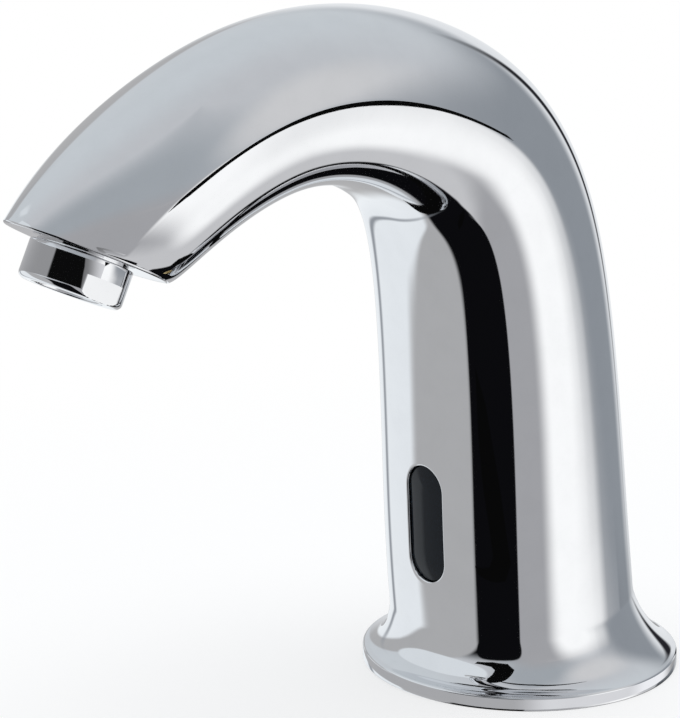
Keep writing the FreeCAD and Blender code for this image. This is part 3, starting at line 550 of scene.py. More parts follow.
def height_table():
    """Heights of the line in the column, and the places that reach them."""
    places = np.linspace(0.0, 0.3, 400)
    return spline(LINE, places)[:, 1], places


def ring_points(radius, height, turn):
    """Circle about the foot's axis, by the same turn as the skin: 0 is the front."""
    radius, height, turn = np.broadcast_arrays(radius, height, turn)
    return np.stack([radius * np.sin(turn), -radius * np.cos(turn), height], -1)


# ---- the window's own frame
def front_point(height):
    """Front of the column at a height, in the plane of symmetry."""
    return skin(place_at(height, np.array(0.0)), 0.0)


def window_frame():
    """Origin on the column's front, and the directions aside, up the wall and into it."""
    low = front_point(WINDOW_HEIGHT - WINDOW_LENGTH / 2)
    high = front_point(WINDOW_HEIGHT + WINDOW_LENGTH / 2)
    lean = math.atan2(low[1] - high[1], high[2] - low[2])
    axes = np.array([(1, 0, 0), (0, -math.sin(lean), math.cos(lean)), (0, math.cos(lean), math.sin(lean))])
    return front_point(WINDOW_HEIGHT), axes


def slot_outline(length_along, width, length):
    """Point of a slot's outline after a share of its way round, from 45 degrees left of its foot.

    Each end arc between its 45 degree points is one quarter of the way, and each side another.
    """
    radius, straight = width / 2, (length - width) / 2
    side, along = np.divmod(np.mod(length_along, 4.0), 1.0)
    arc = -3 * math.pi / 4 + along * math.pi / 2
    end = np.stack([radius * np.cos(arc), radius * np.sin(arc) - straight], -1)
    run = along * (radius * math.pi / 2 + 2 * straight)
    bend = radius * math.pi / 4
    low = run < bend
    high = run > bend + 2 * straight
    angle = np.where(low, (run - bend) / radius, np.where(high, (run - bend - 2 * straight) / radius, 0.0))
    flank = np.stack([radius * np.cos(angle), radius * np.sin(angle)
                      + np.where(low, -straight, np.where(high, straight, run - bend - straight))], -1)
    half = np.where((side % 2 == 0)[..., None], end, flank)
    return np.where((side >= 2)[..., None], -half, half)


def meet(surface, middle, scales, origin, axes, target):
    """Parameters at which a surface, seen along the window's axis, meets target points: Newton."""
    first, second = middle + target[:, 1] / scales[0], target[:, 0] / scales[1]
    for _ in range(12):
        step = 1e-4
        here = (surface(first, second) - origin) @ axes[:2].T
        by_first = ((surface(first + step, second) - origin) @ axes[:2].T - here) / step
        by_second = ((surface(first, second + step) - origin) @ axes[:2].T - here) / step
        error = target - here
        scale = by_first[..., 0] * by_second[..., 1] - by_first[..., 1] * by_second[..., 0]
        first = first + (error[..., 0] * by_second[..., 1] - error[..., 1] * by_second[..., 0]) / scale
        second = second + (by_first[..., 0] * error[..., 1] - by_first[..., 1] * error[..., 0]) / scale
    return first, second


def border(firsts, seconds):
    """Parameters round the edge of a block of a grid, from its first corner, and its share of the way."""
    rows, columns = len(firsts) - 1, len(seconds) - 1
    first = np.concatenate([np.full(columns, firsts[0]), firsts[:-1],
                            np.full(columns, firsts[-1]), firsts[:0:-1]])
    second = np.concatenate([seconds[:-1], np.full(rows, seconds[-1]),
                             seconds[:0:-1], np.full(rows, seconds[0])])
    share = np.concatenate([np.arange(columns) / columns, 1 + np.arange(rows) / rows,
                            2 + np.arange(columns) / columns, 3 + np.arange(rows) / rows])
    return first, second, share


# ---- casting
def around_turns(spacing, rounding, block_columns):
    """Turns of the columns: even over the window and the rest, close together at the two creases."""
    reach = CREASE_REACH * rounding
    near = np.linspace(-reach, reach, CREASE_COLUMNS) + math.pi / 2
    side = np.linspace(BLOCK_TURN, near[0], int(SIDE_RUN / spacing))[:-1]
    back = np.linspace(near[-1], math.pi, int(BACK_RUN / spacing))[1:]
    front = np.linspace(-BLOCK_TURN, BLOCK_TURN, block_columns + 1)
    right = np.concatenate([side[1:], near, back])
    return np.concatenate([-right[:-1][::-1], front, right])


def end_rows(turns, rounding, edge_radius):
    """Rows over the rounded edge of the spout's end, across its face and into the aerator's socket.

    The end face stands square to the line. The socket is a circle about the aerator's axis, carried
    along that axis to the face, and the rows between are straight mixes of the two outlines.
    """
    sines, cosines = quarter(edge_radius)
    slope = spline(LINE, np.array(1.0), True)
    out = np.array([0.0, -slope[0], slope[1]]) / np.linalg.norm(slope)
    rows = [skin(1.0, turns, edge_radius - cosine, rounding) + out * (sine - edge_radius)
            for sine, cosine in zip(sines, cosines)]
    origin, (aside, inward, axis) = aerator_frame()
    around = turns[:, None]

    def circle(radius):
        return origin + radius * (np.sin(around) * aside + np.cos(around) * inward)

    mouth = circle(SOCKET_RADIUS)
    face = np.array([0.0, -LINE[-1, 0], LINE[-1, 1]])
    mouth = mouth + axis * (((face - mouth) @ out) / (axis @ out))[:, None]
    rows += [rows[-1] * (1 - share) + mouth * share for share in FACE_SHARES]
    rows += [mouth]
    rows += [circle(SOCKET_RADIUS) - axis * depth for depth in SOCKET_ROWS]
    rows += [circle(radius) - axis * SOCKET_DEPTH for radius in (SOCKET_LEDGE, OUTLET_RADIUS)]
    rows += [circle(radius) - axis * OUTLET_DEPTH for radius in (OUTLET_RADIUS, 3.0, 0.0)]
    return rows


def build_casting(options):
    """Hollow casting in one closed grid of rows and columns, with a slot let into it for the window."""
    spacing = options.spacing / MM
    rounding = options.crease_round / MM
    round_window = options.window_round / MM
    origin, axes = window_frame()
    block_columns, block_rows, above_rows, below_rows, flare_rows, foot_rows, spout_rows = (
        int(length / spacing) for length in (BLOCK_WIDTH, BLOCK_LENGTH, ABOVE_BLOCK, BELOW_BLOCK,
                                             FLARE_RUN, FOOT_RUN, SPOUT_RUN))
    turns = around_turns(spacing, rounding, block_columns)
    low, high = (float(place_at(height)) for height in (BLOCK_LOW, BLOCK_HIGH))

    # hollow of the column: straight mixes, in share, between the places at its floor and its top
    floor_place = place_at(HOLLOW_BOTTOM, turns, WALL)
    top_place = place_at(HOLLOW_TOP, turns, WALL)

    def hollow(share, turn):
        start = np.interp(turn, turns, floor_place)
        end = np.interp(turn, turns, top_place)
        return skin(start + (end - start) * share, turn, WALL)

    shares = np.concatenate([np.linspace(1.0, BLOCK_SHARES[0], above_rows)[:-1],
                             np.linspace(*BLOCK_SHARES, block_rows + 1),
                             np.linspace(BLOCK_SHARES[1], 0.0, below_rows)[1:]])
    inside = [hollow(share, turns) for share in shares]
    cap = inside[0].mean(axis=0)
    rows = [cap + (inside[0] - cap) * share for share in (0.0, 0.5)] + inside
    inner_start = 2 + above_rows - 1

    foot = list(FOOT_PROFILE)
    foot += rounded(FLANGE_RADIUS, 0.0, SMALL_ROUND, 3)
    foot += [(FLANGE_RADIUS, FLANGE_MIDDLE)]
    foot += rounded(FLANGE_RADIUS, FLANGE_RIM, RIM_ROUND, 8, above=True)
    rows += [ring_points(radius, height, turns) for radius, height in foot]

    flare_shares = np.linspace(1.0, 0.0, flare_rows)[1:-1]
    rows += [flare(np.full(turns.shape, share), turns, rounding) for share in flare_shares]
    start = float(place_at(FLARE_TOP))
    places = np.concatenate([np.linspace(start, low, foot_rows + 2)[:-1],
                             np.linspace(low, high, block_rows + 1),
                             np.linspace(high, 1.0, spout_rows)[1:-1]])
    outer_start = len(rows) + foot_rows + 1
    rows += list(skin(places[:, None], turns[None, :], 0.0, rounding))
    rows += end_rows(turns, rounding, options.end_round / MM)
    points = np.stack(rows)

    first_column = int(np.argmin(np.abs(turns + BLOCK_TURN)))
    skip = np.zeros((points.shape[0] - 1, points.shape[1]), bool)
    for first_row in (inner_start, outer_start):
        skip[first_row:first_row + block_rows, first_column:first_column + block_columns] = True
    casting = sheet(points, closed=True, skip=skip)

    # frame of the slot: rings that turn from the block's border to the slot's outline, over the
    # rounded edge, through the wall, and out again to the border of the hollow's block
    columns = turns[first_column:first_column + block_columns + 1]

    def outer(place, turn):
        return skin(place, turn, 0.0, rounding)

    place, turn, way = border(places[foot_rows + 1:][:block_rows + 1], columns)
    target = slot_outline(way, WINDOW_WIDTH + 2 * round_window, WINDOW_LENGTH + 2 * round_window)
    hole_place, hole_turn = meet(outer, place_at(WINDOW_HEIGHT), OUTER_GUESS, origin, axes, target)
    rings = [outer(place + (hole_place - place) * share, turn + (hole_turn - turn) * share)
             for share in np.linspace(0.0, 1.0, OUTER_RINGS)]
    sines, cosines = quarter(round_window, 5)
    edge_depth = (rings[-1] - origin) @ axes[2]
    for sine, cosine in zip(sines[1:], cosines[1:]):
        spread = 2 * (round_window - sine)
        flat = slot_outline(way, WINDOW_WIDTH + spread, WINDOW_LENGTH + spread)
        rings.append(origin + flat @ axes[:2] + (edge_depth + round_window - cosine)[:, None] * axes[2])
    flat = slot_outline(way, WINDOW_WIDTH, WINDOW_LENGTH)
    rings += [origin + flat @ axes[:2] + depth * axes[2] for depth in (1.6, WALL)]
    inner_shares = shares[above_rows - 1:][:block_rows + 1][::-1]
    share_in, turn_in, _ = border(inner_shares, columns)
    hole_share, hole_turn = meet(hollow, HOLLOW_MIDDLE, HOLLOW_GUESS, origin, axes, flat)
    for mix in np.linspace(1.0, 0.0, INNER_RINGS)[1:]:
        ring = hollow(share_in + (hole_share - share_in) * mix, turn_in + (hole_turn - turn_in) * mix)
        press = ease(np.full(way.shape, mix), 0.0, FLAT_SHARE) * (WALL - (ring - origin) @ axes[2])
        rings.append(ring + press[:, None] * axes[2])
    slot_frame = sheet(np.stack(rings), closed=True)
    return [casting, slot_frame]


class TAP_OT_casting(bpy.types.Operator):
    """Build the plated casting: foot, column, arch and spout"""

    bl_idname = "tap.casting"
    bl_label = "Casting"

    def execute(self, context):
        piece("casting", build_casting(settings("casting")), chrome_finish(), "tap", ["spout_body"],
              sharp=32.0)
        return {"FINISHED"}


# ---- turned pieces
def turned(profile, columns, change):
    """Surface of revolution: profile is (radius, height) rows, change alters the radii of the grid."""
    profile = np.array(profile, float)
    angle = np.linspace(0.0, 2 * math.pi, columns, endpoint=False)[None, :]
    radius, height = (np.repeat(profile[:, i:i + 1], columns, 1) for i in (0, 1))
    radius = change(radius, height, angle)
    return np.stack([radius * np.cos(angle), radius * np.sin(angle), height], -1)


def thread_cut(radius, height, angle, pitch, depth, low, high, major):
    """Radius lowered by a rounded V that climbs one pitch in a turn, fading in at both ends."""
    phase = np.mod(height / pitch - angle / (2 * math.pi), 1.0)
    groove = 0.5 + 0.5 * np.cos(2 * math.pi * phase)
    inside = ease(height, low, low + pitch) * ease(-height, -high, -high + pitch)
    return np.where(np.abs(radius - major) < 1e-6, radius - depth * groove * inside, radius)


def thread_rows(radius, low, high, spacing):
    """(radius, height) rows of a thread, close enough together to show its ridges."""
    count = int((high - low) / spacing)
    return [(radius, low + (high - low) * i / count) for i in range(count + 1)]


def aerator_frame():
    """Origin of the aerator on the spout's end, and its directions aside, towards the tip and out."""
    tilt = AERATOR_TILT
    towards_tip = np.array([0.0, -math.cos(tilt), math.sin(tilt)])
    end = np.array([0.0, -LINE[-1, 0], LINE[-1, 1]])
    axes = np.array([(1.0, 0.0, 0.0), -towards_tip, (0.0, -math.sin(tilt), -math.cos(tilt))])
    return end + towards_tip * AERATOR_OFFSET, axes


def build_aerator_ring(options):
    """Ring with a threaded neck, rounded lower edge and two flats cut at half the width across them."""
    bottom = AERATOR_NECK + AERATOR_HEIGHT
    top, flat_top = AERATOR_NECK - RING_RAISED, bottom - FLAT_HEIGHT
    thread_start = AERATOR_THREAD_CHAMFER - AERATOR_THREAD_LENGTH
    lip_floor = bottom - AERATOR_LIP_HEIGHT
    sides = [(AERATOR_RADIUS, height) for height in (flat_top - 1.0, flat_top - 0.02, flat_top + 0.02)]
    lip_round = [(AERATOR_LIP + SMALL_ROUND - sine, bottom - SMALL_ROUND + cosine)
                 for sine, cosine in zip(*quarter(SMALL_ROUND, 4))]
    profile = [(AERATOR_BORE, -AERATOR_THREAD_LENGTH),
               (AERATOR_THREAD - AERATOR_THREAD_CHAMFER, -AERATOR_THREAD_LENGTH)]
    profile += thread_rows(AERATOR_THREAD, thread_start, top, AERATOR_ROWS)
    profile += rounded(AERATOR_RADIUS, top, SMALL_ROUND, 4) + sides
    profile += rounded(AERATOR_RADIUS, bottom, AERATOR_ROUND, 8, above=True) + lip_round
    profile += [(AERATOR_LIP, lip_floor), (AERATOR_BORE, lip_floor), (AERATOR_BORE, -AERATOR_THREAD_LENGTH)]
    depth = options.thread_depth / MM

    def change(radius, height, angle):
        flat = FLAT_ACROSS / 2 / np.maximum(np.abs(np.cos(angle)), 1e-3)
        below = (height > flat_top) & (radius > AERATOR_THREAD)
        radius = np.where(below, np.minimum(radius, flat), radius)
        return thread_cut(radius, height, angle, AERATOR_PITCH, depth, -AERATOR_THREAD_LENGTH, -0.5,
                          AERATOR_THREAD)

    local = turned(profile, options.columns, change)
    origin, axes = aerator_frame()
    return [sheet(origin + local @ axes, closed=True)]


class TAP_OT_aerator(bpy.types.Operator):
    """Build the aerator's ring and finish the pieces inside it"""

    bl_idname = "tap.aerator"
    bl_label = "Aerator"

    def execute(self, context):
        ring = chrome_finish("chrome_ring", waviness=0.004 * MM)
        piece("aerator_ring", build_aerator_ring(settings("aerator")), ring, "aerator_shell",
              ["aerator_housing"], sharp=30.0)
        dress(["aerator_screen"], plain_finish("screen_steel", (0.62, 0.63, 0.64), 0.35, metallic=1.0))
        dress(["aerator_insert"], plain_finish("white_moulding", (0.78, 0.78, 0.75), 0.45))
        dress(["aerator_seal"], rubber_finish())
        return {"FINISHED"}


def rubber_finish():
    found = bpy.data.materials.get("black_rubber")
    return found or plain_finish("black_rubber", (0.022, 0.022, 0.024), 0.6, grain=600.0, depth=0.05 * MM)


# ---- sensor window
def build_window_glass(options):
    """Slot-shaped plug with a crowned face, a rounded edge and a flange behind.

    Rows are slot outlines. Over the face they shrink to the slot's middle line while they rise to
    the crown; their depth is crown * s^2, where s is the share of the way out to the edge.
    """
    origin, axes = window_frame()
    way = np.linspace(0.0, 4.0, GLASS_COLUMNS, endpoint=False)
    width, length = WINDOW_WIDTH - 2 * WINDOW_GAP, WINDOW_LENGTH - 2 * WINDOW_GAP
    crown, edge = options.crown / MM, SMALL_ROUND
    rows = []

    def row(shrink, depth):
        outline_points = slot_outline(way, width, length)
        inward = slot_outline(way, 1e-6, length - width)
        flat = inward + (outline_points - inward) * ((width / 2 - shrink) / (width / 2))
        rows.append(origin + flat @ axes[:2] + depth * axes[2])

    for share in np.linspace(0.0, 1.0, GLASS_ROWS):
        row(width / 2 - (width / 2 - edge) * share, WINDOW_RECESS + crown * share ** 2)
    sines, cosines = quarter(edge, 5)
    for sine, cosine in zip(sines[1:], cosines[1:]):
        row(edge - sine, WINDOW_RECESS + crown + edge - cosine)
    row(0.0, GLASS_SEAT)
    flange = WINDOW_WIDTH / 2 + GLASS_FLANGE - width / 2
    for shrink, depth in ((-flange, GLASS_SEAT), (-flange, GLASS_BACK), (width / 2, GLASS_BACK)):
        row(shrink, depth)
    return [sheet(np.stack(rows), closed=True)]


class TAP_OT_window(bpy.types.Operator):
    """Build the sensor's dark window and finish its gasket"""

    bl_idname = "tap.window"
    bl_label = "Sensor window"

    def execute(self, context):
        piece("window_glass", build_window_glass(settings("window")), window_finish(), "tap",
              ["sensor_window"], sharp=50.0)
        dress(["window_gasket"], rubber_finish())
        return {"FINISHED"}


class TAP_OT_sensor(bpy.types.Operator):
    """Finish the sensor module behind the window"""

    bl_idname = "tap.sensor"
    bl_label = "Sensor module"

    def execute(self, context):
        dress(["sensor_case", "beam_divider", "sensor_back_cover"],
              plain_finish("black_moulding", (0.03, 0.03, 0.032), 0.5))
        dress(["sensor_board"], board_finish())
        dress(["ir_emitter"], plain_finish("clear_epoxy", (0.75, 0.78, 0.85), 0.12, ior=1.5))
        dress(["ir_receiver"], plain_finish("dark_epoxy", (0.05, 0.03, 0.06), 0.12, ior=1.5))
        dress(["status_lamp"], plain_finish("red_epoxy", (0.60, 0.05, 0.04), 0.15, ior=1.5))
        dress(["sensor_bracket"], plain_finish("strip_steel", (0.60, 0.60, 0.61), 0.32, metallic=1.0))
        return {"FINISHED"}


# ---- supply tail, foot and fixing
def upright(points, y):
    """Carry a turned piece to its own upright axis."""
    return points + np.array([0.0, y, 0.0])


def build_tail(options):
    """Pipe with a thread at each end, a collar and a hexagon to turn it by."""
    supply_root, collar_foot = SUPPLY_THREAD - TAIL_CHAMFER, SUPPLY_THREAD_TOP + TAIL_CHAMFER
    outer = [(TAIL_BORE, TAIL_FOOT), (supply_root, TAIL_FOOT)]
    outer += thread_rows(SUPPLY_THREAD, TAIL_FOOT + TAIL_CHAMFER, SUPPLY_THREAD_TOP, TAIL_ROWS)
    outer += [(supply_root, collar_foot), (TAIL_PIPE, collar_foot), (TAIL_PIPE, HEX_LOW)]
    outer += [(TAIL_HEX, HEX_LOW), (TAIL_HEX, HEX_LOW + 0.01), (TAIL_HEX, HEX_HIGH - 0.01)]
    outer += [(TAIL_COLLAR, HEX_HIGH), (TAIL_COLLAR, COLLAR_TOP)]
    outer += thread_rows(SOCKET_THREAD, COLLAR_TOP, TAIL_TOP - TAIL_CHAMFER, TAIL_ROWS)
    outer += [(SOCKET_THREAD - TAIL_CHAMFER, TAIL_TOP), (TAIL_BORE, TAIL_TOP)]
    outer += [(TAIL_BORE, (TAIL_TOP + TAIL_FOOT) / 2), (TAIL_BORE, TAIL_FOOT)]

    def change(radius, height, angle):
        flat = HEX_ACROSS / 2 / np.cos(np.mod(angle, math.pi / 3) - math.pi / 6)
        radius = np.where(np.abs(radius - TAIL_HEX) < 1e-6, np.minimum(radius, flat), radius)
        radius = thread_cut(radius, height, angle, options.tail_pitch / MM, SUPPLY_DEPTH, TAIL_FOOT,
                            SUPPLY_THREAD_TOP + 1.5, SUPPLY_THREAD)
        return thread_cut(radius, height, angle, SOCKET_PITCH, SOCKET_THREAD_DEPTH, COLLAR_TOP - 1.0,
                          TAIL_TOP + 0.5, SOCKET_THREAD)

    return [sheet(upright(turned(outer, TAIL_COLUMNS, change), TAIL_Y), closed=True)]


def build_stud(options):
    """Threaded rod with chamfered ends."""
    pitch = options.stud_pitch / MM
    end = STUD_RADIUS - STUD_CHAMFER
    profile = [(0.0, STUD_FOOT), (end, STUD_FOOT)]
    profile += thread_rows(STUD_RADIUS, STUD_FOOT + STUD_CHAMFER, STUD_TOP - STUD_CHAMFER,
                           pitch / STUD_ROWS_A_TURN)
    profile += [(end, STUD_TOP), (0.0, STUD_TOP)]

    def change(radius, height, angle):
        return thread_cut(radius, height, angle, pitch, STUD_THREAD_DEPTH, STUD_FOOT - 0.2, STUD_TOP + 0.2,
                          STUD_RADIUS)

    return [sheet(upright(turned(profile, STUD_COLUMNS, change), STUD_Y), closed=True)]


class TAP_OT_supply(bpy.types.Operator):
    """Build the supply tail with its threads and finish its seal"""

    bl_idname = "tap.supply"
    bl_label = "Supply tail"

    def execute(self, context):
        brass = turned_finish("turned_brass", (0.78, 0.62, 0.32), 0.26)
        piece("supply_tail", build_tail(settings("fixing")), brass, "tap", ["inlet_tail"],
              sharp=35.0)
        dress(["inlet_seal"], rubber_finish())
        return {"FINISHED"}


class TAP_OT_foot(bpy.types.Operator):
    """Finish the plate, gasket and grommet under the foot"""

    bl_idname = "tap.foot"
    bl_label = "Foot"

    def execute(self, context):
        dress(["base_plate"], plain_finish("grey_moulding", (0.30, 0.31, 0.32), 0.5))
        dress(["lead_grommet", "base_gasket"], rubber_finish())
        return {"FINISHED"}


class TAP_OT_fixing(bpy.types.Operator):
    """Build the threaded stud and finish the clamp, nuts and screws"""

    bl_idname = "tap.fixing"
    bl_label = "Fixing"

    def execute(self, context):
        zinc = plain_finish("zinc_plate", (0.66, 0.67, 0.70), 0.3, metallic=1.0, shade=0.9)
        piece("threaded_stud", build_stud(settings("fixing")), zinc, "tap", ["fixing_stud"],
              sharp=50.0)
        dress(["stud_locknut", "clamp_washer", "bracket_screw", "case_screws", "base_plate_screws"], zinc)
        dress(["clamp_plate"], plain_finish("pressed_steel", (0.58, 0.58, 0.60), 0.34, metallic=1.0))
        dress(["clamp_rubber"], rubber_finish())
        dress(["fixing_nut"], turned_finish("nut_brass", (0.78, 0.62, 0.32), 0.3))
        return {"FINISHED"}


# ---- stage
# What the metal shows of the studio, seen from the tap and laid one over the other: (name, azimuth
# from the front towards +X, elevation, half width, half height, power, softness, colour). The angles
# are in degrees; a power of 2 makes an oval and a higher one a box with rounded corners.
CARDS = [
    ("ceiling, warmer side", -110, 45, 75, 30, 2.0, 0.70, (0.665, 0.705, 0.735)),
    ("ceiling, cooler side", 62, 35, 42, 45, 2.0, 0.60, (0.42, 0.45, 0.48)),
    ("ceiling, right", 125, 42, 26, 18, 2.0, 0.60, (0.72, 0.72, 0.725)),
    ("wall left", -80, -20, 76, 43.5, 2.0, 0.04, (0.485, 0.485, 0.490)),
    ("light box left", -90, -28, 37, 31, 2.8, 0.08, (0.935, 0.970, 0.995)),
    ("seam in the box left", -97, -26, 4, 34, 2.0, 0.80, (0.34, 0.36, 0.39)),
    ("light box front", -34, 31, 42, 20, 2.4, 0.05, (0.80, 0.84, 0.87)),
    ("wall right", 108, -32, 61, 46, 3.0, 0.03, (0.66, 0.66, 0.67)),
    ("wall right, shaded", 77, -22, 42, 40, 2.5, 0.30, (0.43, 0.43, 0.445)),
    ("dark gap in front", 23, -40, 27, 43, 6.0, 0.03, (0.004, 0.004, 0.005)),
    ("wall behind", 178, 3, 50, 26, 2.5, 0.35, (0.31, 0.335, 0.365)),
    ("light box right, low", 131, -30, 14, 14, 2.0, 0.60, (1.16, 1.16, 1.15)),
    ("light box right", 111, -11, 20, 24, 2.6, 0.50, (1.18, 1.18, 1.17)),
    ("light box behind", -148, 2, 24, 20, 2.5, 0.30, (0.86, 0.88, 0.90)),
    ("gap behind", -160, 6, 4, 18, 2.0, 0.45, (0.02, 0.02, 0.025)),
]
CEILING, GROUND = (0.62, 0.635, 0.66), (0.004, 0.004, 0.005)
HORIZON = (-8.0, 12.0)      # elevations between which the dark ground fades into the ceiling
# Cards close to the tap, which only its metal shows; lengths and places are in mm.
# Beside the spout, for the black line along its crease: rows of (x, y, lower edge, upper edge).
SPOUT_STRIP = [(44, -108, 108, 118), (50, -95, 108, 128), (65, -75, 114, 142), (80, -50, 121, 153),
               (80, -10, 121, 151), (80, 20, 126, 142), (80, 45, 131, 136)]
# Dark crescent round the foot's front: rows of (turn in degrees, height) on its outer and inner side.
CRESCENT_RADIUS = 60.0
CRESCENT = [(16, 62, 16, 48), (23, 55, 19, 36), (33, 37, 24, 25), (41, 18, 26, 19), (36, 13, 23, 16),
            (24, 12, 16, 15), (12, 13, 10, 15)]
# Low ring of paper that the rim shows of the floor, and its tones, which are painted shade and light of the
# floor: (turn from, turn to, tone).
PAPER_RADIUS, PAPER_LOW, PAPER_HIGH = 45.0, -6.0, 0.3
PAPER_SHADE_AND_LIGHT = [(42, 60, 0.82), (98, 112, 1.05), (126, 146, 0.38)]
# Card round the aerator: its radius, first and last distance along the axis, turns, and its tones.
RING_CARD, RING_TURNS = (22.0, -1.0, 8.8), (-115.0, 95.0)
RING_TONES = [(-90, -15, 0.34), (7, 11, 0.004), (62, 64, 0.20), (63, 95, 0.80)]
RING_REACH = 0.0113         # ray length, in m, from which the card shows, so that the spout misses it
# Disc that darkens the arch's underside: (y, radius, height).
COVER = (-6.0, 31.0, 60.0)
NEAR = 0.03                 # ray length, in m, up to which the paper shows, and from which the disc does
FLOOR_REACH = 3000.0        # half the floor's side, mm
FLOOR_GLOW, FLOOR_FADE = 0.62, (0.06, 0.30)         # share of glow near the tap; m over which it fills up
LAMP_SIZE, LAMP_PLACE = 1.2, (0.1, -0.1, 1.3)       # m


def studio_light(shader):
    """Radiance by direction: dark ground, grey ceiling, and the cards in front of them.

    A card covers the directions where (dx^power + dy^power)^(1/power) is under 1, with dx and dy the
    distances from its middle over its half width and half height.
    """
    direction = shader.node("ShaderNodeTexCoord", output="Generated")
    x, y, z = shader.parts(direction)
    across = x.math("ARCTAN2", -y) * math.degrees(1.0)
    up = z.math("ARCSINE") * math.degrees(1.0)
    light = shader.blend(up.step(*HORIZON), rgb(GROUND), rgb(CEILING))
    for _, azimuth, elevation, width, height, power, soft, colour in CARDS:
        aside = abs((across - azimuth).math("WRAP", 180.0, -180.0)) / width
        above = abs(up - elevation) / height
        reach = (aside.math("POWER", power) + above.math("POWER", power)).math("POWER", 1 / power)
        light = shader.blend(reach.step(1 - soft, 1 + soft), rgb(colour), light)
    return light


def build_world():
    world = bpy.data.worlds.new("studio")
    bpy.context.scene.world = world
    world.use_nodes = True
    shader = Shader(world.node_tree)
    colour = shader.blend(shader.light_path("Is Camera Ray"), studio_light(shader), (1, 1, 1, 1))
    background = shader.node("ShaderNodeBackground", {"Color": colour})
    shader.node("ShaderNodeOutputWorld", {"Surface": background})


def stage_sheet(name, points, quads, material):
    """Flat part of the stage from points in millimetres."""
    mesh = bpy.data.meshes.new(name)
    mesh.from_pydata((np.array(points) * MM).tolist(), [], quads)
    mesh.materials.append(material)
    made = add_object(name, mesh)
    return made


def build_floor(colour):
    """Pale floor that is seen, and catches the shadow, from above only; it glows to white far out."""
    material, shader = blank_material("pale_floor")
    paper = shader.node("ShaderNodeBsdfDiffuse", {"Color": rgb(colour)})
    glow = shader.node("ShaderNodeEmission", {"Color": (1, 1, 1, 1), "Strength": 1.0})
    distance = shader.node("ShaderNodeVectorMath", {0: shader.place()}, output="Value", operation="LENGTH")
    share = FLOOR_GLOW + (1 - FLOOR_GLOW) * distance.step(*FLOOR_FADE)
    lit = shader.mix(share * shader.light_path("Is Camera Ray"), paper, glow)
    behind = shader.node("ShaderNodeNewGeometry", output="Backfacing")
    surface = shader.mix(behind, lit, shader.node("ShaderNodeBsdfTransparent"))
    shader.node("ShaderNodeOutputMaterial", {"Surface": surface})
    corners = [(x * FLOOR_REACH, y * FLOOR_REACH, 0) for x, y in ((-1, -1), (1, -1), (1, 1), (-1, 1))]
    floor = stage_sheet("floor", corners, [(0, 1, 2, 3)], material)
    floor.visible_glossy = False


def glow_card(name, points, quads, describe):
    """Card in the metal only: it has the tone, and shows by the share, that describe works out."""
    material, shader = blank_material(name)
    tone, share = describe(shader)
    glow = shader.node("ShaderNodeEmission", {"Color": tone, "Strength": 1.0})
    surface = shader.mix(share, shader.node("ShaderNodeBsdfTransparent"), glow)
    shader.node("ShaderNodeOutputMaterial", {"Surface": surface})
    card = stage_sheet(name, points, quads, material)
    card.visible_camera = card.visible_diffuse = card.visible_shadow = False
    card.visible_transmission = card.visible_volume_scatter = False


def grey(level):
    return (level, level, 1.02 * level, 1)


def tone_round(shader, y, first, tones):
    """Grey that changes from the first tone to each next one between two turns about an upright axis."""
    across, along = shader.parts(shader.place(), "XY")
    turn = across.math("ARCTAN2", y * MM - along) * math.degrees(1.0)
    tone = grey(first)
    for start, end, level in tones:
        tone = shader.blend(turn.step(start, end), tone, grey(level))
    return tone


def build_near_cards():
    """Cards that give the metal its dark lines, and the foot's rim its tones of paper, which are painted
    shade and light of the floor.
    """
    def reach(shader, comparison, length):
        return shader.light_path("Ray Length").math(comparison, length)

    around = np.linspace(0.0, 2 * math.pi, 65)
    heights = PAPER_LOW, PAPER_HIGH
    points, quads = sheet(np.stack([ring_points(PAPER_RADIUS, height, around) for height in heights]))
    # The paper's grey by turn is painted shade and light: darker towards the front and left, lighter round
    # the right, and shade again behind it.
    glow_card("foot_paper_painted_shade", points, quads.tolist(), lambda shader: (
        tone_round(shader, 0.0, 0.47, PAPER_SHADE_AND_LIGHT), reach(shader, "LESS_THAN", NEAR)))
    y, radius, height = COVER
    points = ring_points(radius, height, around[:-1]) + np.array([0, y, 0])
    glow_card("foot_cover", points, [tuple(range(len(points)))], lambda shader: (
        grey(0.003), reach(shader, "GREATER_THAN", NEAR)))

    radius, *places = RING_CARD
    middle, axes = aerator_frame()
    around = np.radians(np.linspace(*RING_TURNS, 60))
    local = np.stack([np.stack([radius * np.sin(around), -radius * np.cos(around),
                                np.full(around.shape, place)], -1) for place in places])
    points, quads = sheet(middle + local @ axes)
    glow_card("ring_card", points, quads.tolist(), lambda shader: (
        tone_round(shader, middle[1], 0.50, RING_TONES), reach(shader, "GREATER_THAN", RING_REACH)))

    strip = [(x, y, z) for x, y, *edges in SPOUT_STRIP for z in edges]
    crescent = [tuple(ring_points(CRESCENT_RADIUS, row[k + 1], math.radians(row[k])))
                for row in CRESCENT for k in (0, 2)]
    for name, points in (("spout_strip", strip), ("foot_crescent", crescent)):
        quads = [(i, i + 1, i + 3, i + 2) for i in range(0, len(points) - 2, 2)]
        glow_card(name, points, quads, lambda shader: (grey(0.003), 1.0))


def build_lamp(power):
    """Large soft lamp overhead, for the matt surfaces and the shadow on the floor."""
    lamp = bpy.data.lights.new("overhead", "AREA")
    lamp.shape, lamp.size, lamp.energy = "DISK", LAMP_SIZE, power
    holder = add_object("overhead", lamp)
    holder.location = LAMP_PLACE
    holder.visible_glossy = False


CAMERA_ANGLES = (48.284, 14.072, 0.373)     # azimuth, elevation and roll, in degrees
CAMERA_TARGET, CAMERA_DISTANCE = (0.0, -0.045, 0.075), 0.58359
CAMERA_TURN = (0.0109851, 0.0009557)        # tangents of its turn to the left and up from the target


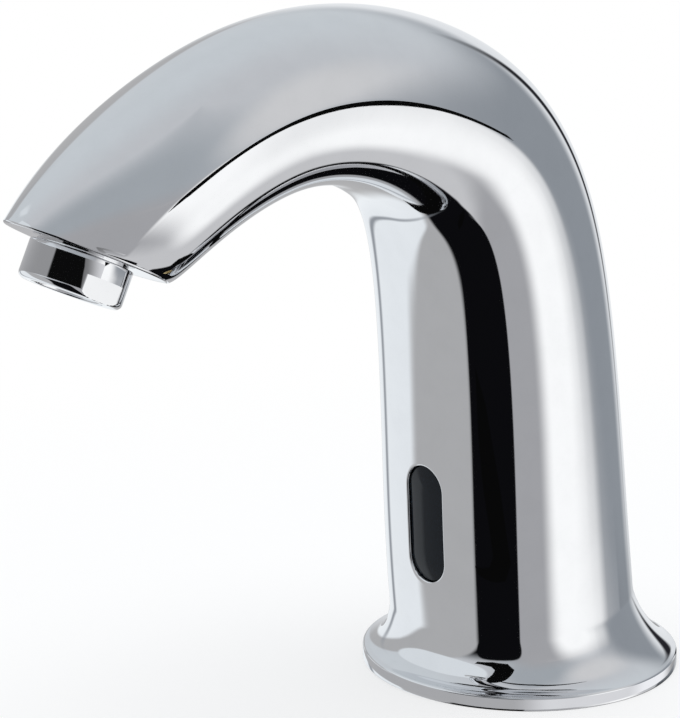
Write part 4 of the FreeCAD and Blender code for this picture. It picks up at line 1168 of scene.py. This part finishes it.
def build_camera(lens):
    """Camera of the reference view: its own axes, worked out from azimuth, elevation and roll."""
    azimuth, elevation, roll = (math.radians(angle) for angle in CAMERA_ANGLES)
    back = Vector((math.sin(azimuth) * math.cos(elevation), -math.cos(azimuth) * math.cos(elevation),
                   math.sin(elevation)))
    level = Vector((math.cos(azimuth), math.sin(azimuth), 0.0))
    right = math.cos(roll) * level + math.sin(roll) * back.cross(level)
    up = back.cross(right)
    centre = Vector(CAMERA_TARGET) + back * CAMERA_DISTANCE
    aim = (back + right * CAMERA_TURN[0] - up * CAMERA_TURN[1]).normalized()
    right = (right - aim * right.dot(aim)).normalized()
    up = aim.cross(right)
    camera = bpy.data.cameras.new("camera")
    camera.lens, camera.sensor_width = lens, 36.0
    camera.clip_start, camera.clip_end = 0.05, 50.0
    holder = add_object("camera", camera)
    holder.matrix_world = Matrix.Translation(centre) @ Matrix((right, up, aim)).transposed().to_4x4()
    bpy.context.scene.camera = holder


class TAP_OT_stage(bpy.types.Operator):
    """Build the floor, the studio's light and the camera"""

    bl_idname = "tap.stage"
    bl_label = "Stage"

    def execute(self, context):
        studio = settings("studio")
        build_world()
        build_floor(studio.floor)
        build_near_cards()
        build_lamp(studio.lamp_power)
        build_camera(studio.lens)
        context.scene.view_settings.view_transform = "Standard"
        return {"FINISHED"}


# ---- panel and registration
OPERATORS = [TAP_OT_casting, TAP_OT_aerator, TAP_OT_window, TAP_OT_sensor, TAP_OT_supply, TAP_OT_foot,
             TAP_OT_fixing, TAP_OT_stage]


class TAP_PT_panel(bpy.types.Panel):
    """Lists the steps that build the tap, with their settings"""

    bl_idname = "TAP_PT_panel"
    bl_label = "Sensor Tap"
    bl_space_type = "VIEW_3D"
    bl_region_type = "UI"
    bl_category = "Tap"

    def draw(self, context):
        for operator in OPERATORS:
            self.layout.operator(operator.bl_idname)
        for name, group in SETTINGS.items():
            box = self.layout.box()
            box.label(text=name.capitalize())
            for key in group.__annotations__:
                box.prop(settings(name), key)


CLASSES = [*SETTINGS.values(), *OPERATORS, TAP_PT_panel]


def register():
    for item in CLASSES:
        bpy.utils.register_class(item)
    for name, group in SETTINGS.items():
        setattr(bpy.types.Scene, "tap_" + name, PointerProperty(type=group))


def unregister():
    for name in SETTINGS:
        delattr(bpy.types.Scene, "tap_" + name)
    for item in reversed(CLASSES):
        bpy.utils.unregister_class(item)


def main():
    register()
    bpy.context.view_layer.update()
    for operator in OPERATORS:
        group, name = operator.bl_idname.split(".")
        getattr(getattr(bpy.ops, group), name)()


if __name__ == "__main__":
    main()
